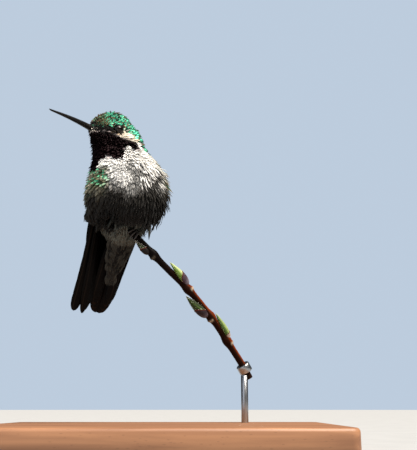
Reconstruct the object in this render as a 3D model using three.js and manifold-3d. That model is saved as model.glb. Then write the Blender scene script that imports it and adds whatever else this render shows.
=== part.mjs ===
// A male broad-tailed hummingbird, fluffed up and perched on a short cut length of budding willow twig,
// which a rod holds above a small wooden display base. Life size, in millimetres, Z up, the bird facing -Y.

import * as THREE from 'three';
import { ParametricGeometry } from 'three/addons/geometries/ParametricGeometry.js';
import { RoundedBoxGeometry } from 'three/addons/geometries/RoundedBoxGeometry.js';
import { mergeVertices } from 'three/addons/utils/BufferGeometryUtils.js';
import Module from 'manifold-3d';

const wasm = await Module();
wasm.setup();

const V = ( x, y, z ) => new THREE.Vector3( x, y, z );
const rad = THREE.MathUtils.degToRad;
const mix = THREE.MathUtils.lerp;

// ---------- driving sizes ----------

const gap = 0.3; // clearance between neighbouring pieces
const cut = 0.3; // width of the thin cuts that part the body

const billLength = 17.2; // exposed culmen
const billBaseWidth = 2.45;
const billBaseHeight = 2.35;
const billInside = 2.6; // hidden root, under the feathers of the face
const billPoint = V( - 26.6, - 5.6, 107.2 ); // where the bill leaves the feathers
const billTurn = 48; // heading of the bill: degrees from -X towards -Y
const billRise = 6; // degrees above level
const headRoll = 9; // near side lowered, degrees

const eyeRadius = 1.9;
const eyeBack = 6.3; // behind the root of the bill
const eyeUp = 1.4;
const eyeProud = 0.6; // how far the eye stands out of the feathers

const bodyTurn = 18; // heading of the breast: degrees from -Y towards +X
const bodyPitch = 72; // axis of the trunk above level

const tailLength = 33.6;
const tailRoot = V( - 15.9, 8.6, 76.0 );
const tailTip = V( - 25.6, 21.0, 46.2 );
const rectrixPairs = 5;
const rectrixWidth = 4.8;
const bladeThick = 0.56;
const bladeStep = 0.16; // each feather of a stack lies this much behind the last

const primaryCount = 5;
const wristHeight = 93.5;
const wristAngle = 96; // round the body from the breast
const wristStep = 2.5; // the roots of the primaries lie below the wrist by this, and spread by as much again
const primaryFan = 26; // degrees round the body from the outermost root to the innermost
const shieldWidth = 10.8; // coverts over the arm
const shieldThick = 3.4;

const twigRadius = 1.12;
const nodeSwell = 0.5; // of the twig's radius, where a bud sits
const nodeReach = 1.9;
const toeRadius = 0.36;
const toeSpread = 1.25; // spacing of the toes along the twig
const clawLength = 1.9;
const tarsusRadius = 0.5;

const baseSize = V( 112, 76, 8 );
const rodRadius = 1.25;
const socketDepth = 4;

// ---------- colours ----------

const green = { color: '#2f7d55', roughness: 0.35, metalness: 0.2 };
const gorget = { color: '#241316', roughness: 0.3, metalness: 0.2 };
const white = { color: '#dcdad2', roughness: 0.8, metalness: 0 };
const grey = { color: '#55544f', roughness: 0.85, metalness: 0 };
const dusky = { color: '#2a2625', roughness: 0.6, metalness: 0 };
const horn = { color: '#17130f', roughness: 0.35, metalness: 0 };
const wet = { color: '#0a0706', roughness: 0.05, metalness: 0 };
const skinDark = { color: '#2b2320', roughness: 0.6, metalness: 0 };
const bark = { color: '#6b3a24', roughness: 0.7, metalness: 0 };
const budGreen = { color: '#a9b87a', roughness: 0.6, metalness: 0 };
const budBrown = { color: '#8d8178', roughness: 0.75, metalness: 0 };
const wood = { color: '#b58c5f', roughness: 0.55, metalness: 0 };
const steel = { color: '#9a9ca0', roughness: 0.3, metalness: 1 };

// ---------- making solids ----------

const bird = new THREE.Group();

function solid( geometry ) {

	const plain = geometry.clone();
	plain.deleteAttribute( 'normal' );
	plain.deleteAttribute( 'uv' );
	const merged = mergeVertices( plain, 1e-4 );
	const index = merged.index.array;
	const kept = [];
	for ( let i = 0; i < index.length; i += 3 ) {

		const [ a, b, c ] = [ index[ i ], index[ i + 1 ], index[ i + 2 ] ];
		if ( a !== b && b !== c && c !== a ) kept.push( a, b, c );

	}

	const mesh = new wasm.Mesh( {
		numProp: 3,
		vertProperties: Float32Array.from( merged.attributes.position.array ),
		triVerts: Uint32Array.from( kept )
	} );
	const made = new wasm.Manifold( mesh );
	return made.volume() < 0 ? flipped( mesh ) : made;

}

function flipped( mesh ) {

	const tri = mesh.triVerts.slice();
	for ( let i = 0; i < tri.length; i += 3 ) [ tri[ i ], tri[ i + 1 ] ] = [ tri[ i + 1 ], tri[ i ] ];
	return new wasm.Manifold( new wasm.Mesh( { numProp: 3, vertProperties: mesh.vertProperties, triVerts: tri } ) );

}

function geometryOf( manifold ) {

	const mesh = manifold.getMesh();
	const geometry = new THREE.BufferGeometry();
	geometry.setAttribute( 'position', new THREE.BufferAttribute( mesh.vertProperties, 3 ) );
	geometry.setIndex( new THREE.BufferAttribute( mesh.triVerts, 1 ) );
	geometry.computeVertexNormals();
	return geometry;

}

// the largest piece of a solid, without the crumbs that a cut can leave
function largest( manifold ) {

	return manifold.decompose().reduce( ( a, b ) => ( b.volume() > a.volume() ? b : a ) );

}

function join( list ) {

	return list.reduce( ( a, b ) => a.add( b ) );

}

function add( name, manifold, look ) {

	const mesh = new THREE.Mesh( geometryOf( largest( manifold ) ), new THREE.MeshStandardMaterial( look ) );
	mesh.name = name;
	bird.add( mesh );

}

// A closed surface of rings: ring( along, around ) gives the point, and its first and last rings shrink to a point.
function rings( ring, around, along ) {

	return solid( new ParametricGeometry( ( u, v, target ) => {

		const end = v < 1e-6 || v > 1 - 1e-6;
		ring( end ? Math.round( v ) : v, end ? 0 : u % 1, target, end );

	}, around, along ) );

}

// The share along a sweep of so many steps whose two end rings close flat.
function shareBetweenEnds( v, steps ) {

	return THREE.MathUtils.clamp( ( v * ( steps + 2 ) - 1 ) / steps, 0, 1 );

}

function basisFrom( side, front, up ) {

	return new THREE.Matrix4().makeBasis( side.clone().normalize(), front.clone().normalize(), up.clone().normalize() );

}

// ---------- frames of the body, the head and the tail ----------

// side: the bird's right, front: its breast, up: along the trunk to the neck
const facing = V( Math.sin( rad( bodyTurn ) ), - Math.cos( rad( bodyTurn ) ), 0 );
const bodySide = facing.clone().cross( V( 0, 0, 1 ) ).normalize();
const bodyUp = facing.clone().multiplyScalar( Math.cos( rad( bodyPitch ) ) ).setZ( Math.sin( rad( bodyPitch ) ) );
const bodyFront = bodySide.clone().cross( bodyUp ).negate();
const bodyBasis = basisFrom( bodySide, bodyFront, bodyUp );

const headAlong = V(
	- Math.cos( rad( billTurn ) ) * Math.cos( rad( billRise ) ),
	- Math.sin( rad( billTurn ) ) * Math.cos( rad( billRise ) ),
	Math.sin( rad( billRise ) )
);
const headLeft = V( 0, 0, 1 ).cross( headAlong ).normalize().applyAxisAngle( headAlong, rad( - headRoll ) );
const headUp = headAlong.clone().cross( headLeft ).normalize();
const headBasis = basisFrom( headLeft, headAlong, headUp );

const tailDown = tailTip.clone().sub( tailRoot ).normalize();
const tailSide = bodySide.clone().addScaledVector( tailDown, - bodySide.dot( tailDown ) ).normalize();
const tailFront = tailSide.clone().cross( tailDown ).normalize();
if ( tailFront.y > 0 ) tailFront.negate();
const tailBasis = basisFrom( tailSide, tailFront, tailDown );

const headPoint = ( left, along, up ) => billPoint.clone()
	.addScaledVector( headLeft, left ).addScaledVector( headAlong, along ).addScaledVector( headUp, up );

// ---------- the coat's outline, as one smooth blend of rounded forms ----------

const forms = [
	{ name: 'belly', at: V( - 13.7, 0.6, 85.6 ), size: V( 14.8, 12.2, 9.0 ), basis: bodyBasis },
	{ name: 'underbelly', at: V( - 10.2, - 0.6, 80.1 ), size: V( 10.2, 8.6, 8.4 ), basis: bodyBasis },
	{ name: 'flank', at: V( - 20.8, 1.4, 82.0 ), size: V( 7.6, 7.6, 6.6 ), basis: bodyBasis },
	{ name: 'thigh', at: V( - 23.4, 3.0, 79.4 ), size: V( 3.6, 4.6, 5.2 ), basis: bodyBasis },
	{ name: 'chest', at: V( - 13.2, - 1.2, 91.6 ), size: V( 13.3, 11.2, 9.0 ), basis: bodyBasis },
	{ name: 'mantle', at: V( - 13.2, 4.4, 90.0 ), size: V( 10.6, 8.6, 11.0 ), basis: bodyBasis },
	{ name: 'neck', at: V( - 14.9, - 1.0, 100.2 ), size: V( 7.2, 7.4, 7.4 ), basis: bodyBasis },
	{ name: 'throat', at: V( - 20.2, - 4.4, 101.4 ), size: V( 5.4, 5.4, 7.8 ), basis: bodyBasis },
	{ name: 'nape', at: V( - 13.9, 1.6, 105.6 ), size: V( 4.8, 4.8, 5.4 ), basis: bodyBasis },
	{ name: 'skull', at: headPoint( 0, - 8.8, 1.4 ), size: V( 5.2, 6.8, 5.7 ), basis: headBasis },
	{ name: 'crown', at: headPoint( 0.5, - 10.3, 6.0 ), size: V( 4.0, 5.4, 4.2 ), basis: headBasis },
	{ name: 'forehead', at: headPoint( 0, - 5.1, 3.3 ), size: V( 3.2, 3.7, 3.5 ), basis: headBasis },
	{ name: 'face', at: headPoint( 0, - 3.4, 0.1 ), size: V( 2.2, 4.4, 1.9 ), basis: headBasis },
	{ name: 'rump', at: V( - 15.2, 7.6, 76.4 ), size: V( 7.6, 5.6, 9.4 ), basis: tailBasis }
];
const blendSharpness = 0.85;

const inverseOf = new Map( forms.map( ( form ) => [ form, form.basis.clone().invert() ] ) );

function fieldAt( p ) {

	let sum = 0;
	for ( const form of forms ) {

		const q = p.clone().sub( form.at ).applyMatrix4( inverseOf.get( form ) );
		const scaled = V( q.x / form.size.x, q.y / form.size.y, q.z / form.size.z );
		const slope = V( scaled.x / form.size.x, scaled.y / form.size.y, scaled.z / form.size.z ).length();
		const k = scaled.length();
		const distance = slope > 1e-6 ? k * ( k - 1 ) / slope : - Math.min( form.size.x, form.size.y, form.size.z );
		sum += Math.exp( - blendSharpness * distance );

	}

	return - Math.log( sum ) / blendSharpness;

}

// the middle of the body at each height, from the crown to the vent
const middle = new THREE.CatmullRomCurve3( [
	V( - 18.8, 1.6, 118 ),
	V( - 19.0, 0.8, 112 ),
	V( - 18.0, - 1.6, 106 ),
	V( - 15.4, - 1.6, 99 ),
	V( - 13.6, 0.6, 90 ),
	V( - 13.9, 2.4, 80 ),
	V( - 15.6, 8.2, 72 ),
	V( - 17.6, 11.2, 64 )
] );

function middleAt( z ) {

	let low = 0;
	let high = 1;
	for ( let i = 0; i < 30; i ++ ) {

		const half = ( low + high ) / 2;
		if ( middle.getPoint( half ).z > z ) low = half;
		else high = half;

	}

	return middle.getPoint( low ).setZ( z );

}

function poleBetween( inside, outside ) {

	for ( let i = 0; i < 30; i ++ ) {

		const z = ( inside + outside ) / 2;
		if ( fieldAt( middleAt( z ) ) < 0 ) inside = z;
		else outside = z;

	}

	return inside;

}

const crownZ = poleBetween( 110, 118 );
const ventZ = poleBetween( 78, 64 );

// how far the coat reaches from a point inside it, in a direction
function reachFrom( point, direction, limit = 24 ) {

	let near = 0;
	let far = limit;
	for ( let i = 0; i < 26; i ++ ) {

		const half = ( near + far ) / 2;
		if ( fieldAt( point.clone().addScaledVector( direction, half ) ) < 0 ) near = half;
		else far = half;

	}

	return near;

}

function bodySurface( v, u, target, end ) {

	const z = mix( ventZ, crownZ, ( 1 - Math.cos( Math.PI * v ) ) / 2 );
	const centre = middleAt( z );
	if ( end ) return target.copy( centre );
	const out = V( Math.cos( u * 2 * Math.PI ), Math.sin( u * 2 * Math.PI ), 0 );
	return target.copy( centre ).addScaledVector( out, reachFrom( centre, out ) );

}

// the coat's surface at a height, at an angle round the body from the breast to the bird's right (positive) or left
function flankPoint( angle, z, lift = 0 ) {

	const centre = middleAt( z );
	const out = facing.clone().multiplyScalar( Math.cos( rad( angle ) ) );
	out.addScaledVector( bodySide, Math.sin( rad( angle ) ) );
	return centre.addScaledVector( out, reachFrom( centre, out ) + lift );

}

// ---------- feather blades ----------

const bladeStations = [ 0, 0.4, 0.85, 0.95, 1 ];
const roomStations = [ 0, 0.45, 1 ]; // of the plain bars that clear room for a feather

// A flat blade from root to tip. Its side direction turns from sideRoot to sideTip, and it bows out by bow.
function blade( {
	root, tip, sideRoot, sideTip, width, thick = bladeThick, taper = 0.35, point = 0.14, bow = V( 0, 0, 0 )
}, stations = bladeStations ) {

	const along = tip.clone().sub( root ).normalize();
	const count = stations.length;
	const positions = [];
	stations.forEach( ( t ) => {

		const centre = root.clone().lerp( tip, t ).addScaledVector( bow, 4 * t * ( 1 - t ) );
		const side = sideRoot.clone().lerp( sideTip, t );
		side.addScaledVector( along, - side.dot( along ) ).normalize();
		const out = side.clone().cross( along );
		const opening = mix( taper, 1, Math.min( 1, t / 0.45 ) );
		const closing = t < 1 - point ? 1 : Math.sqrt( Math.max( 0, 1 - ( ( t - 1 + point ) / point ) ** 2 ) );
		const half = width / 2 * opening * Math.max( closing, 0.12 );
		for ( const [ a, b ] of [ [ - 1, - 1 ], [ 1, - 1 ], [ 1, 1 ], [ - 1, 1 ] ] ) {

			const corner = centre.clone().addScaledVector( side, a * half ).addScaledVector( out, b * thick / 2 );
			positions.push( ...corner.toArray() );

		}

	} );
	const faces = [ 0, 2, 1, 0, 3, 2 ];
	const last = 4 * ( count - 1 );
	for ( let i = 0; i < count - 1; i ++ ) {

		for ( let j = 0; j < 4; j ++ ) {

			const a = 4 * i + j;
			const b = 4 * i + ( j + 1 ) % 4;
			faces.push( a, b, b + 4, a, b + 4, a + 4 );

		}

	}

	faces.push( last, last + 1, last + 2, last, last + 2, last + 3 );
	const geometry = new THREE.BufferGeometry();
	geometry.setAttribute( 'position', new THREE.Float32BufferAttribute( positions, 3 ) );
	geometry.setIndex( faces );
	return solid( geometry );

}

// an ellipsoid in a frame, for the shields of small feathers
function lens( at, basis, size, grow = 0, around = 14, along = 8 ) {

	const ball = new THREE.SphereGeometry( 1, around, along );
	ball.scale( size.x + grow, size.y + grow, size.z + grow );
	ball.applyMatrix4( basis );
	ball.translate( at.x, at.y, at.z );
	return solid( ball );

}

// ---------- tail ----------

const tailPoint = ( side, front, down ) => tailRoot.clone()
	.addScaledVector( tailSide, side ).addScaledVector( tailFront, front ).addScaledVector( tailDown, down );

const tailFace = 0.9; // front of the stack of tail feathers, ahead of the middle of the tail root

function tailSolid() {

	const list = [];
	for ( let pair = 0; pair < rectrixPairs; pair ++ ) {

		for ( const hand of [ 1, - 1 ] ) {

			// the outer pairs are a little shorter, and lie in front of the middle ones
			const angle = rad( 0.7 + 0.95 * pair ) * hand;
			const length = tailLength - 0.34 * pair * pair;
			const layer = tailFace - bladeThick / 2 - bladeStep * ( 2 * ( rectrixPairs - 1 - pair ) + ( hand > 0 ? 1 : 0 ) );
			const root = tailPoint( hand * ( 0.3 + 0.42 * pair ), layer, 0 );
			const tip = tailPoint( hand * 0.3 + Math.sin( angle ) * length, layer, Math.cos( angle ) * length );
			list.push( blade( {
				root, tip, sideRoot: tailSide, sideTip: tailSide, width: rectrixWidth - 0.25 * pair, point: 0.13
			}, [ 0, 0.45, 0.87, 0.96, 1 ] ) );

		}

	}

	return join( list );

}

const tailDepth = bladeThick + bladeStep * ( 2 * rectrixPairs - 1 );
const tailRoomWidth = 13;

// the room that the tail takes up, with its clearance
function tailRoom( clear ) {

	const front = tailFace - tailDepth / 2;
	return blade( {
		root: tailPoint( 0, front, - clear ),
		tip: tailPoint( 0, front, tailLength + clear ),
		sideRoot: tailSide,
		sideTip: tailSide,
		width: tailRoomWidth,
		thick: tailDepth + 2 * clear,
		taper: 0.6,
		point: - 1
	}, roomStations );

}

// everything on one side of a plane across the tail: in front of it for hand 1, behind it for -1
function tailHalf( front, hand ) {

	const box = new THREE.BoxGeometry( 60, 20, 100 );
	box.translate( 0, hand * 10, 0 );
	box.applyMatrix4( tailBasis );
	const at = tailPoint( 0, front, 0 );
	box.translate( at.x, at.y, at.z );
	return solid( box );

}

function undertailSolid( grow = 0 ) {

	return lens( tailPoint( - 0.6, tailFace + 0.6, 9.4 ), tailBasis, V( 4.9, 2.1, 12.6 ), grow, 10, 7 );

}

function uppertailSolid( grow = 0 ) {

	return lens( tailPoint( 0, tailFace - tailDepth - 0.4, 5.0 ), tailBasis, V( 4.6, 1.7, 8.4 ), grow, 10, 7 );

}

// ---------- wings ----------

// Each wing folds back along its side of the body. The tips are the bird's own, the rest lies on the coat.
const wings = {
	right: {
		hand: 1,
		outer: V( - 33.3, 15.6, 46.7 ), // tip of the outermost primary
		longest: V( - 30.5, 17.0, 45.9 ),
		inner: V( - 24.6, 20.4, 58.0 ), // tip of the innermost primary that shows
		rootDepth: 4.2, // of the primaries' roots, under the coat's surface
		shieldDepth: 3.4,
		chordTip: V( 0.9, 0.42, 0 ), // side direction of the primaries at their tips
		bow: - 1.05 // outward
	},
	left: {
		hand: - 1,
		outer: V( - 22.4, 24.4, 50.6 ),
		longest: V( - 24.2, 25.0, 47.6 ),
		inner: V( - 24.4, 24.0, 60.0 ),
		rootDepth: 2.2,
		shieldDepth: 1.4,
		chordTip: V( - 0.95, 0.3, 0 ),
		bow: - 0.5
	}
};

function wingBlades( wing ) {

	const list = [];
	for ( let i = 0; i < primaryCount; i ++ ) {

		// 0 is the outermost primary, and each later one is shorter and starts further back
		const t = i / ( primaryCount - 1 );
		const angle = wing.hand * ( wristAngle + 6 + primaryFan * t );
		const root = flankPoint( angle, wristHeight - wristStep * ( 1 + t ), - wing.rootDepth - bladeStep * i );
		const outward = root.clone().sub( middleAt( root.z ) ).setZ( 0 ).normalize();
		const chord = V( 0, 0, 1 ).cross( outward ).multiplyScalar( - wing.hand );
		const tip = wing.outer.clone();
		if ( i > 0 ) tip.copy( wing.longest ).lerp( wing.inner, Math.pow( ( i - 1 ) / ( primaryCount - 2 ), 1.5 ) );
		tip.addScaledVector( outward, - bladeStep * i );
		list.push( {
			root, tip, sideRoot: chord, sideTip: wing.chordTip,
			width: [ 4.1, 3.4 ][ i ] || 5.2,
			point: [ 0.1, 0.18 ][ i ] || 0.16,
			bow: outward.multiplyScalar( wing.bow )
		} );

	}

	return list;

}

// the shield of coverts over the folded arm, with the short secondaries under it
function wingShield( wing, grow = 0 ) {

	const { hand, shieldDepth } = wing;
	const high = flankPoint( hand * wristAngle, wristHeight - 3, - shieldDepth - 1.0 );
	const low = flankPoint( hand * ( wristAngle + 56 ), wristHeight - 19, - shieldDepth + 1.0 );
	const at = flankPoint( hand * ( wristAngle + 24 ), wristHeight - 10, - shieldDepth );
	const down = low.clone().sub( high ).normalize();
	const outward = at.clone().sub( middleAt( at.z ) ).normalize();
	outward.addScaledVector( down, - outward.dot( down ) ).normalize();
	const across = down.clone().cross( outward ).normalize();
	const size = V( shieldWidth / 2, shieldThick / 2, high.distanceTo( low ) / 2 );
	return lens( at, basisFrom( across, outward, down ), size, grow, 10, 6 );

}

const wingSolid = ( wing ) => join( [ wingShield( wing ), ...wingBlades( wing ).map( ( each ) => blade( each ) ) ] );

const barMargin = 0.3;

// the room that a folded wing takes up, with its clearance
function wingRoom( wing, clear ) {

	const thick = bladeThick + 2 * clear;
	const cleared = wingBlades( wing ).map( ( each ) => {

		const width = each.width + 2 * clear + 2 * barMargin;
		return blade( { ...each, width, thick, point: - 1 }, roomStations );

	} );
	return join( [ ...cleared, wingShield( wing, clear ) ] );

}

// ---------- twig, buds ----------

const twigPath = new THREE.CatmullRomCurve3( [
	V( - 21.4, - 1.5, 79.0 ),
	V( - 16.4, - 0.6, 75.5 ),
	V( - 9.3, 1.0, 69.4 ),
	V( - 3.7, 3.2, 63.9 ),
	V( 0.6, 5.4, 59.8 ),
	V( 8.7, 9.6, 52.3 ),
	V( 16.9, 14.8, 42.8 ),
	V( 22.3, 18.8, 35.1 ),
	V( 27.8, 22.6, 26.9 ),
	V( 29.7, 23.6, 23.4 )
] );
const twigLength = twigPath.getLength();
const twigNodes = [ 0.29, 0.505, 0.665, 0.8 ]; // swellings, as shares of the length

function twigRadiusAt( t ) {

	let swell = 0;
	for ( const at of twigNodes ) {

		const away = ( t - at ) * twigLength / nodeReach;
		swell += Math.exp( - away * away );

	}

	return twigRadius * mix( 0.92, 1.12, t ) + nodeSwell * swell;

}

function twigSolid( grow = 0 ) {

	const sides = grow > 0.2 ? 6 : 8;
	const steps = grow > 0.2 ? 14 : 23;
	const frames = twigPath.computeFrenetFrames( steps, false );
	return rings( ( v, u, target, end ) => {

		const t = shareBetweenEnds( v, steps );
		const i = Math.round( t * steps );
		target.copy( twigPath.getPointAt( t ) );
		target.addScaledVector( frames.tangents[ i ], v < 0.5 && t === 0 ? - grow : t === 1 ? grow : 0 );
		if ( end ) return;
		const angle = u * 2 * Math.PI;
		const radius = twigRadiusAt( t ) + grow;
		target.addScaledVector( frames.normals[ i ], Math.cos( angle ) * radius );
		target.addScaledVector( frames.binormals[ i ], Math.sin( angle ) * radius );

	}, sides, steps + 2 );

}

const budGap = 0.1; // between a bud and the bark
const budSink = 0.5; // how far the axis of a bud starts inside the bark
const scaleShare = 0.3; // share of a bud that its foot scale covers

// a pointed bud that leans forward along the twig, with a short scaly foot under it
const buds = [
	{ at: 0.285, turn: V( - 0.7, - 0.4, - 0.5 ), length: 6.6, radius: 1.2, lean: 0.04 },
	{ at: 0.5, turn: V( 0.7, - 0.3, 0.7 ), length: 10.4, radius: 1.5, lean: 0.08 },
	{ at: 0.665, turn: V( - 0.7, - 0.5, - 0.5 ), length: 11.2, radius: 1.75, lean: 0.17 },
	{ at: 0.805, turn: V( 0.7, - 0.3, 0.7 ), length: 10.6, radius: 1.3, lean: 0.06 }
];

function budPieces( { at, turn, length, radius, lean } ) {

	const middlePoint = twigPath.getPointAt( at );
	const back = twigPath.getTangentAt( at ).negate();
	const out = turn.clone().addScaledVector( back, - turn.dot( back ) ).normalize();
	const along = back.clone().addScaledVector( out, lean ).normalize();
	const foot = middlePoint.clone().addScaledVector( out, twigRadiusAt( at ) - budSink ).addScaledVector( back, - 0.8 );
	const place = ( geometry ) => {

		geometry.applyQuaternion( new THREE.Quaternion().setFromUnitVectors( V( 0, 1, 0 ), along ) );
		geometry.translate( foot.x, foot.y, foot.z );
		return solid( geometry );

	};

	const outline = ( from, to, swell ) => {

		const points = [];
		const steps = 4;
		for ( let i = 0; i <= steps; i ++ ) {

			const t = mix( from, to, i / steps );
			const r = radius * swell * Math.pow( Math.sin( Math.PI * Math.pow( t, 0.62 ) ), 0.8 );
			points.push( new THREE.Vector2( Math.max( r, 0 ), t * length ) );

		}

		points.unshift( new THREE.Vector2( 0, from * length ) );
		points.push( new THREE.Vector2( 0, to * length ) );
		return new THREE.LatheGeometry( points, 7 );

	};

	const scale = place( outline( 0, scaleShare, 1.08 ) );
	const tip = place( outline( scaleShare + 0.05, 1, 1 ) );
	return { scale, tip };

}

// ---------- feet ----------

// Each foot holds the twig at a share of its length: three toes over the front, one behind.
const feet = {
	right: { at: 0.061, hip: V( - 19.0, 1.2, 84.0 ) },
	left: { at: 0.1675, hip: V( - 12.2, 2.8, 80.0 ) }
};

class ArcRound extends THREE.Curve {

	constructor( centre, first, second, along, radius, from, to, drift ) {

		super();
		Object.assign( this, { centre, first, second, along, radius, from, to, drift } );

	}

	getPoint( t, target = V( 0, 0, 0 ) ) {

		const angle = mix( this.from, this.to, t );
		return target.copy( this.centre )
			.addScaledVector( this.first, Math.cos( angle ) * this.radius )
			.addScaledVector( this.second, Math.sin( angle ) * this.radius )
			.addScaledVector( this.along, this.drift * t );

	}

}

function sweep( curve, radiusAt, steps, sides = 6 ) {

	const frames = curve.computeFrenetFrames( steps, false );
	return rings( ( v, u, target, end ) => {

		const t = shareBetweenEnds( v, steps );
		const i = Math.round( t * steps );
		target.copy( curve.getPointAt( t ) );
		if ( end ) return;
		const angle = u * 2 * Math.PI;
		target.addScaledVector( frames.normals[ i ], Math.cos( angle ) * radiusAt( t ) );
		target.addScaledVector( frames.binormals[ i ], Math.sin( angle ) * radiusAt( t ) );

	}, sides, steps + 2 );

}

const toeSpans = [ // where each toe starts and ends round the twig, in degrees from the top towards the front
	{ shift: - 1, from: 4, to: 118 },
	{ shift: 0, from: 4, to: 134 },
	{ shift: 1, from: 4, to: 118 },
	{ shift: 0.2, from: - 4, to: - 96 }
];
const toeRootShare = 0.45; // share of their spacing that the toes have at the pad, and that they gain to the tip
const toeDriftShare = 0.7;
const gripClear = 0.16; // more than the gap, for the twig's flat sides
const padSize = V( 0.95, 0.62, 0.5 ); // half sizes of the pad where the toes meet
const footRoom = V( 3.0, 3.1, 3.1 ); // half sizes of the hollow that the foot lies in, under the body

function shinSolid( ankle, hip, grow = 0 ) {

	return sweep( new THREE.LineCurve3( ankle, hip ), ( t ) => tarsusRadius * mix( 0.95, 1.7, t * t ) + grow, 2, 5 );

}

function footPieces( { at, hip } ) {

	const centre = twigPath.getPointAt( at );
	const along = twigPath.getTangentAt( at );
	const top = V( 0, 0, 1 ).addScaledVector( along, - along.z ).normalize();
	const front = facing.clone().addScaledVector( along, - facing.dot( along ) );
	front.addScaledVector( top, - front.dot( top ) ).normalize();
	const grip = twigRadius + gripClear + gap + toeRadius;
	const toes = [];
	const claws = [];
	for ( const { shift, from, to } of toeSpans ) {

		const start = centre.clone().addScaledVector( along, shift * toeSpread * toeRootShare );
		const drift = shift * toeSpread * toeDriftShare;
		toes.push( sweep(
			new ArcRound( start, top, front, along, grip, rad( from ), rad( to ), drift ),
			( t ) => toeRadius * ( 1 - 0.16 * t ), 4, 5
		) );
		const clawFrom = rad( to ) + Math.sign( to ) * gap / grip;
		const clawTo = clawFrom + Math.sign( to ) * clawLength / grip;
		const clawStart = start.clone().addScaledVector( along, drift );
		claws.push( sweep(
			new ArcRound( clawStart, top, front, along, grip, clawFrom, clawTo, shift * 0.2 ),
			( t ) => toeRadius * mix( 0.78, 0.16, t ), 3, 5
		) );

	}

	const ankle = centre.clone().addScaledVector( top, grip + 0.1 );
	const basis = basisFrom( along, front, top );
	const pad = lens( ankle, basis, padSize, 0, 6, 5 );
	const keepClear = lens( centre, basis, footRoom, 0, 8, 6 );
	return { foot: join( [ ...toes, pad ] ), shin: shinSolid( ankle, hip ), claws, keepClear, ankle, hip };

}

// ---------- bill and eyes ----------

function billSolid( upper, grow = 0 ) {

	const total = billLength + billInside;
	const steps = 9;
	const sides = 8;
	return rings( ( v, u, target, end ) => {

		const t = shareBetweenEnds( v, steps );
		const reach = upper ? 1 : 0.985;
		const along = - billInside - grow + t * ( total * reach + 2 * grow );
		const slim = 1 - 0.78 * Math.pow( t, 1.1 );
		const arch = 0.35 * Math.sin( Math.PI * Math.min( 1, t * 1.05 ) );
		const angle = u * Math.PI * 2;
		const half = billBaseWidth / 2 * slim + grow;
		const tall = billBaseHeight / 2 * slim * ( upper ? 1.04 : 0.86 ) + grow;
		const split = grow > 0 ? 0 : 0.06;
		let x = Math.cos( angle ) * half;
		let z = Math.sin( angle ) * tall;
		if ( upper ) z = Math.max( z, split - grow );
		else z = Math.min( z, - split + grow );
		if ( end ) {

			x = 0;
			z = upper ? tall * 0.4 : - tall * 0.4;

		}

		target.copy( headPoint( x, along, z + arch + 0.4 * ( 1 - t ) ) );

	}, sides, steps + 2 );

}

function eyeAt( hand ) {

	const inner = headPoint( 0, - eyeBack, eyeUp );
	const out = headLeft.clone().multiplyScalar( hand );
	return inner.clone().addScaledVector( out, reachFrom( inner, out, 9 ) + eyeProud - eyeRadius );

}

function eyeSolid( hand, grow = 0 ) {

	const ball = new THREE.SphereGeometry( eyeRadius + grow, 11, 7 );
	ball.applyMatrix4( headBasis );
	const at = eyeAt( hand );
	ball.translate( at.x, at.y, at.z );
	return solid( ball );

}

// ---------- the body, whole, then cleared for its neighbours and parted by thin cuts ----------

const twig = twigSolid();
const twigClear = twigSolid( gap );
const rightFoot = footPieces( feet.right );
const leftFoot = footPieces( feet.left );
const bill = [ billSolid( true, gap ), billSolid( false, gap ) ];

const bodyAround = 19; // facets of the trunk
const bodyRings = 18;
let whole = rings( bodySurface, bodyAround, bodyRings );
whole = whole.subtract( join( bill ) );
for ( const hand of [ 1, - 1 ] ) whole = whole.subtract( eyeSolid( hand, gap ) );
for ( const side of [ 'right', 'left' ] ) whole = whole.subtract( wingRoom( wings[ side ], gap ) );
whole = whole.subtract( tailRoom( gap ) );
whole = whole.subtract( undertailSolid( gap ) );
whole = whole.subtract( uppertailSolid( gap ) );
whole = whole.subtract( twigClear );
for ( const foot of [ rightFoot, leftFoot ] ) {

	whole = whole.subtract( foot.keepClear );
	whole = whole.subtract( shinSolid( foot.ankle, foot.hip.clone().add( V( 0, 0, gap ) ), gap ) );

}

// a thin slab at a point, square to a direction
function slab( at, direction ) {

	const box = new THREE.BoxGeometry( 60, 60, cut );
	box.applyQuaternion( new THREE.Quaternion().setFromUnitVectors( V( 0, 0, 1 ), direction.clone().normalize() ) );
	box.translate( at.x, at.y, at.z );
	return solid( box );

}

const parting = [
	slab( V( - 16.8, - 1.2, 104.6 ), V( 0.45, 0.25, 1 ) ), // head from neck
	slab( V( - 14.8, - 1.2, 97.2 ), bodyUp ), // neck from breast
	slab( V( - 13.9, 0, 86.4 ), bodyUp ), // breast from belly
	slab( V( - 15.2, 6.8, 75.2 ), V( - 0.1, - 0.62, 0.78 ) ) // belly from rump
];
for ( const each of parting ) whole = whole.subtract( each );
const pieces = whole.decompose().filter( ( piece ) => piece.volume() > 20 );
pieces.sort( ( a, b ) => middleOf( b ).z - middleOf( a ).z );

function middleOf( manifold ) {

	const box = manifold.boundingBox();
	return V( ...box.min ).add( V( ...box.max ) ).multiplyScalar( 0.5 );

}

const bodyNames = [
	[ 'head', green ],
	[ 'neck', gorget ],
	[ 'breast', white ],
	[ 'belly', grey ],
	[ 'rump', green ]
];
bodyNames.forEach( ( [ name, look ], i ) => {

	if ( pieces[ i ] ) add( name, pieces[ i ], look );

} );

add( 'bill_upper', billSolid( true ), horn );
add( 'bill_lower', billSolid( false ), horn );
add( 'eye_left', eyeSolid( 1 ), wet );
add( 'eye_right', eyeSolid( - 1 ), wet );

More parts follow.
